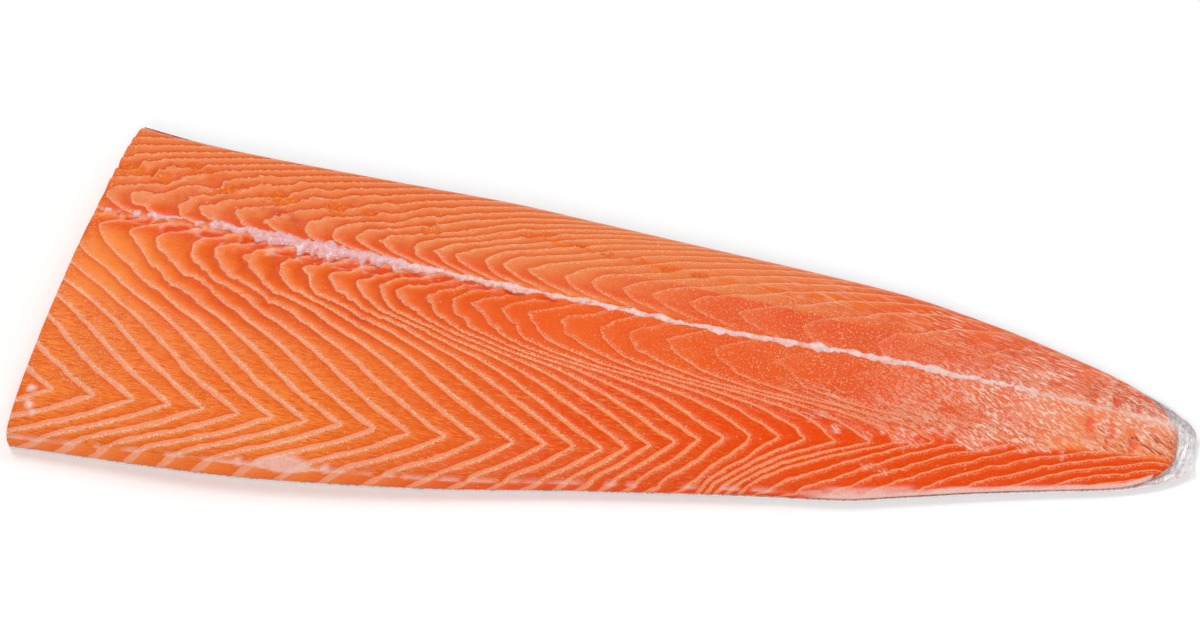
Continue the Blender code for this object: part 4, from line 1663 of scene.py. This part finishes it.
@dataclass(frozen=True)
class SkinFinish:
    """Salmon skin: silver along the belly and blue-grey up the back, with small smooth scales.

    Its bare inner side, which shows past the flesh at the tail, is thin, pale and folded.
    """

    name: str = "silver_salmon_skin"
    silver: str = "D0CDC8"
    back: str = "6A7176"
    inside: str = "E8E4E4"
    rim: str = "FFF4F2"
    fold: str = "B4B6BE"
    bright: str = "FCFCFF"
    spot: str = "3A3D40"
    scale_mm: float = 2.6
    folds: Mottle = Mottle(0.9, 0.48, 0.62, 3.0, 0.6, (4.0, 1.0, 1.0), 75.0)
    shine: Mottle = Mottle(1.2, 0.55, 0.66, 2.0)
    spots: Mottle = Mottle(7.0, 0.68, 0.7, 0.0)

    def material(self) -> bpy.types.Material:
        """Make the material, which reads the skin attribute.

        Returns:
            The material.
        """
        made, shader, place = start_material(self.name)
        tree = made.node_tree
        bare, toward_back, lip = field(tree, "skin")
        outer = add_node(tree, "ShaderNodeMath", {0: 1.0, 1: bare}, operation="SUBTRACT").outputs[0]
        scales = add_node(tree, "ShaderNodeTexVoronoi",
                          {"Vector": place, "Scale": 1 / (self.scale_mm * MM), "Randomness": 0.35},
                          feature="DISTANCE_TO_EDGE")
        scale_edge = add_node(tree, "ShaderNodeMapRange",
                              {"Value": scales.outputs["Distance"], "From Min": 0.02, "From Max": 0.12,
                               "To Min": 1.0, "To Max": 0.0})
        scale_edge = product(tree, scale_edge.outputs["Result"], outer, 0.6)
        fold = product(tree, self.folds.add(tree, place), bare)
        # Bright patches of painted highlight.
        shine = product(tree, self.shine.add(tree, place), 0.6)
        spots = product(tree, self.spots.add(tree, place), toward_back, outer)
        colour = painted(tree, self.silver, [
            (toward_back, self.back), (scale_edge, self.fold), (spots, self.spot), (bare, self.inside),
            (lip, self.rim), (fold, self.fold), (shine, self.bright),
        ])
        dress(shader, colour, raised(tree, [(fold, 0.8), (scale_edge, 1.0)], 0.7, 0.3, inward=True), {
            "Roughness": 0.28, "IOR": 1.42, "Metallic": 0.1, "Coat Weight": 0.5, "Coat Roughness": 0.12,
        })
        return made


@dataclass(frozen=True)
class Skin:
    """The skin: a thin tray under the flesh, turned up at the back edge and at the belly rim."""

    finish: SkinFinish = SkinFinish()
    station: float = 2.5
    tail_station: float = 0.45
    tail_from: float = 335.0
    wrap_points: int = 22
    flat_points: int = 60
    curl_points: int = 12
    tuck: Knots = ((0, 0.5), (25, 0.5), (45, 5.5), (375, 5.5))
    lift_from: float = 364.5
    lift: float = 0.5
    ripple: float = 0.25
    ripple_pitch: float = 7.0
    crease: float = 0.22
    crease_pitch: float = 2.1

    def build(self) -> bpy.types.Object:
        """Build the skin and give it its material.

        Returns:
            The skin.
        """
        body = np.arange(0, self.tail_from, self.station)
        tail = np.arange(self.tail_from, PLAN.length, self.tail_station)
        stations = np.concatenate([body, tail, [PLAN.length]])
        outer, inner = self.sections(stations, 0.0), self.sections(stations, PLAN.skin * 0.92)
        points = np.concatenate([outer, inner[::-1]])
        made = tube("skin_surface", points, {"skin": self.regions(outer)}, Face.SURFACE)
        made.data.materials.append(self.finish.material())
        made.data.set_sharp_from_angle(angle=np.radians(50))
        return made

    def sections(self, stations: Array, inside: float) -> Array:
        """Points from the back rim under the flesh to the belly rim, moved in from the outer face.

        Args:
            stations: X of each section, before the head cut's slant.
            inside: Distance in from the outer face.

        Returns:
            The places, by row round the section and by station.
        """
        belly, _ = PLAN.skin_edges(stations)
        first = curve(self.tuck, stations)
        rows = []
        for turn in np.linspace(0, 1, self.wrap_points) ** 1.3:
            y, z = PLAN.back_wrap(stations, first + (90 - first) * turn, inside)
            rows.append((y, z))
        flat_from, flat_to = rows[-1][0], belly + PLAN.belly_curl_reach
        for share in np.linspace(0, 1, self.flat_points + 1)[1:]:
            rows.append((flat_from + (flat_to - flat_from) * share, np.full_like(stations, inside)))
        curl = curve(PLAN.belly_curl, stations)
        for turn in np.linspace(0, 1, self.curl_points)[1:]:
            rows.append((belly + PLAN.belly_curl_reach * (1 - turn), curl * turn ** 2 + inside))
        y = np.array([row[0] for row in rows])
        z = np.array([row[1] for row in rows])
        slant = 1 - smooth_step(0, 0.5 * PLAN.length, stations)
        x = stations + slant * PLAN.cut_x(y)
        rise = smooth_step(self.lift_from, PLAN.length, stations)
        wave = self.ripple * (1 + np.sin(2 * np.pi * y / self.ripple_pitch))
        z = np.maximum(z + rise * (self.lift + wave) + self.creases(x, y), inside)
        return np.stack([x, y, z], axis=-1)

    def rim_distance(self, x: Array, y: Array) -> Array:
        """Distance in from the skin's outline near the tail.

        Args:
            x: X of each place.
            y: Y of each place.

        Returns:
            Distance in millimetres.
        """
        trace = np.linspace(self.tail_from - 20, PLAN.length, 160)
        belly, back = PLAN.skin_edges(trace)
        edge_x = np.concatenate([trace, trace, np.full(40, PLAN.length)])
        edge_y = np.concatenate([belly, back, np.linspace(belly[-1], back[-1], 40)])
        away = np.hypot(x[..., None] - edge_x, y[..., None] - edge_y)
        return away.min(axis=-1)

    def creases(self, x: Array, y: Array) -> Array:
        """Small folds that run along the outline round the bare tail.

        Args:
            x: X of each place.
            y: Y of each place.

        Returns:
            Height in millimetres.
        """
        at_tail = smooth_step(352, 362, x)
        away = self.rim_distance(x, y) + 0.7 * soft_noise(x, y, 4.0, 81)
        return self.crease * at_tail * np.sin(2 * np.pi * away / self.crease_pitch)

    def regions(self, outer: Array) -> Array:
        """How bare, how near the back and how near the belly rim each point is.

        Args:
            outer: Plan places of the outer face.

        Returns:
            The three as one vector for each place.
        """
        x, y, z = outer[..., 0], outer[..., 1], outer[..., 2]
        toward_back = smooth_step(0.0, 0.75, (y + 12) / (PLAN.skin_edges(x)[1] + 12))
        belly = PLAN.skin_edges(x)[0]
        # The belly rim's own pale colour, painted paler still as light against the shade under the flesh's
        # edge.
        lip = (1 - smooth_step(1.5, 3.0, y - belly)) * (0.8 + 0.2 * smooth_step(200, 250, x))
        # The rim at the head's back corner is painted pale the same way, against the shade of the gap.
        corner = (1 - smooth_step(25, 50, x)) * smooth_step(0.9, 0.97, y / PLAN.skin_edges(x)[1])
        corner = corner * smooth_step(0.8, 0.95, z / curve(PLAN.back_rim, x))
        lip = np.maximum(lip, corner)
        none = np.zeros_like(x)
        outside = np.stack([none, toward_back, lip], axis=-1)
        inside = np.stack([none + 0.85, toward_back * 0.25, lip], axis=-1)
        return np.concatenate([outside, inside[::-1]])


@dataclass(frozen=True)
class StudioCamera:
    """Camera on the photograph's side: from the belly edge, well above, a little to the right."""

    azimuth: float = 12.0
    elevation: float = 55.0
    distance: float = 0.925
    lens: float = 85.0
    target: tuple[float, float, float] = (176.0, 0.0, 10.2)

    def build(self) -> bpy.types.Object:
        """Make the camera and look at the target.

        Returns:
            The camera.
        """
        data = bpy.data.cameras.new("camera")
        data.lens = self.lens
        data.sensor_width = 36.0
        data.clip_start = 0.01
        made = bpy.data.objects.new("camera", data)
        bpy.context.scene.collection.objects.link(made)
        turn, rise = np.radians(self.azimuth), np.radians(self.elevation)
        back = Vector((np.sin(turn) * np.cos(rise), -np.cos(turn) * np.cos(rise), np.sin(rise)))
        made.location = Vector(PLAN.to_frame(self.target)) + back * self.distance
        made.rotation_euler = back.to_track_quat("Z", "Y").to_euler()
        bpy.context.scene.camera = made
        return made


@dataclass(frozen=True)
class Studio:
    """White floor, even white surroundings and three large soft lights."""

    floor_size: float = 6.0
    floor_drop: float = 0.0003
    floor_shade: str = "FFFFFF"
    floor_roughness: float = 0.9
    sky_strength: float = 0.54
    key_power: float = 10.5
    back_power: float = 5.0
    front_power: float = 9.0

    def build(self) -> None:
        """Make the floor, the surroundings and the lights."""
        self.floor()
        self.surroundings()
        self.light("key", (-0.9, 0.75, 1.6), self.key_power, 0.6)
        self.light("back", (0.4, 1.2, 1.5), self.back_power, 0.6)
        self.light("front", (0.25, -1.2, 1.3), self.front_power, 0.8)
        bpy.context.scene.view_settings.view_transform = "Standard"

    def floor(self) -> None:
        """Make the floor."""
        sheet = bmesh.new()
        bmesh.ops.create_grid(sheet, x_segments=1, y_segments=1, size=self.floor_size / 2)
        bmesh.ops.translate(sheet, verts=sheet.verts[:], vec=(0, 0, -self.floor_drop))
        data = bpy.data.meshes.new("floor")
        sheet.to_mesh(data)
        sheet.free()
        finish = bpy.data.materials.new("white_paper_sweep")
        finish.use_nodes = True
        shader = finish.node_tree.nodes["Principled BSDF"]
        shader.inputs["Base Color"].default_value = linear(self.floor_shade)
        shader.inputs["Roughness"].default_value = self.floor_roughness
        data.materials.append(finish)
        made = bpy.data.objects.new("floor", data)
        bpy.context.scene.collection.objects.link(made)

    def surroundings(self) -> None:
        """Make the even white surroundings."""
        world = bpy.data.worlds.new("studio")
        world.use_nodes = True
        sky = world.node_tree.nodes["Background"]
        sky.inputs["Color"].default_value = (1.0, 1.0, 1.0, 1.0)
        sky.inputs["Strength"].default_value = self.sky_strength
        bpy.context.scene.world = world

    def light(self, name: str, place: tuple[float, float, float], power: float, size: float) -> None:
        """Add one soft area light that faces the fillet.

        Args:
            name: Name of the light.
            place: Where it hangs, in metres.
            power: Its power in watts.
            size: Side of its square face in metres.
        """
        data = bpy.data.lights.new(name, "AREA")
        data.energy = power
        data.size = size
        made = bpy.data.objects.new(name, data)
        bpy.context.scene.collection.objects.link(made)
        made.location = place
        made.rotation_euler = Vector(place).to_track_quat("Z", "Y").to_euler()


def main() -> None:
    """Load the frame, build each piece over it and log it."""
    logging.basicConfig(level=logging.INFO, format="%(name)s: %(message)s")
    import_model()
    StudioCamera().build()
    Studio().build()
    flesh = Flesh().build()
    ribbon = MidlineRibbon().build()
    skin = Skin().build()
    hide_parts("flesh")
    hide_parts("skin")
    for piece, slot in ((flesh, "flesh"), (ribbon, "flesh"), (skin, "skin")):
        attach(piece, "root")
        LOG.info("%s has %d faces", piece.name, len(piece.data.polygons))


if __name__ == "__main__":
    main()
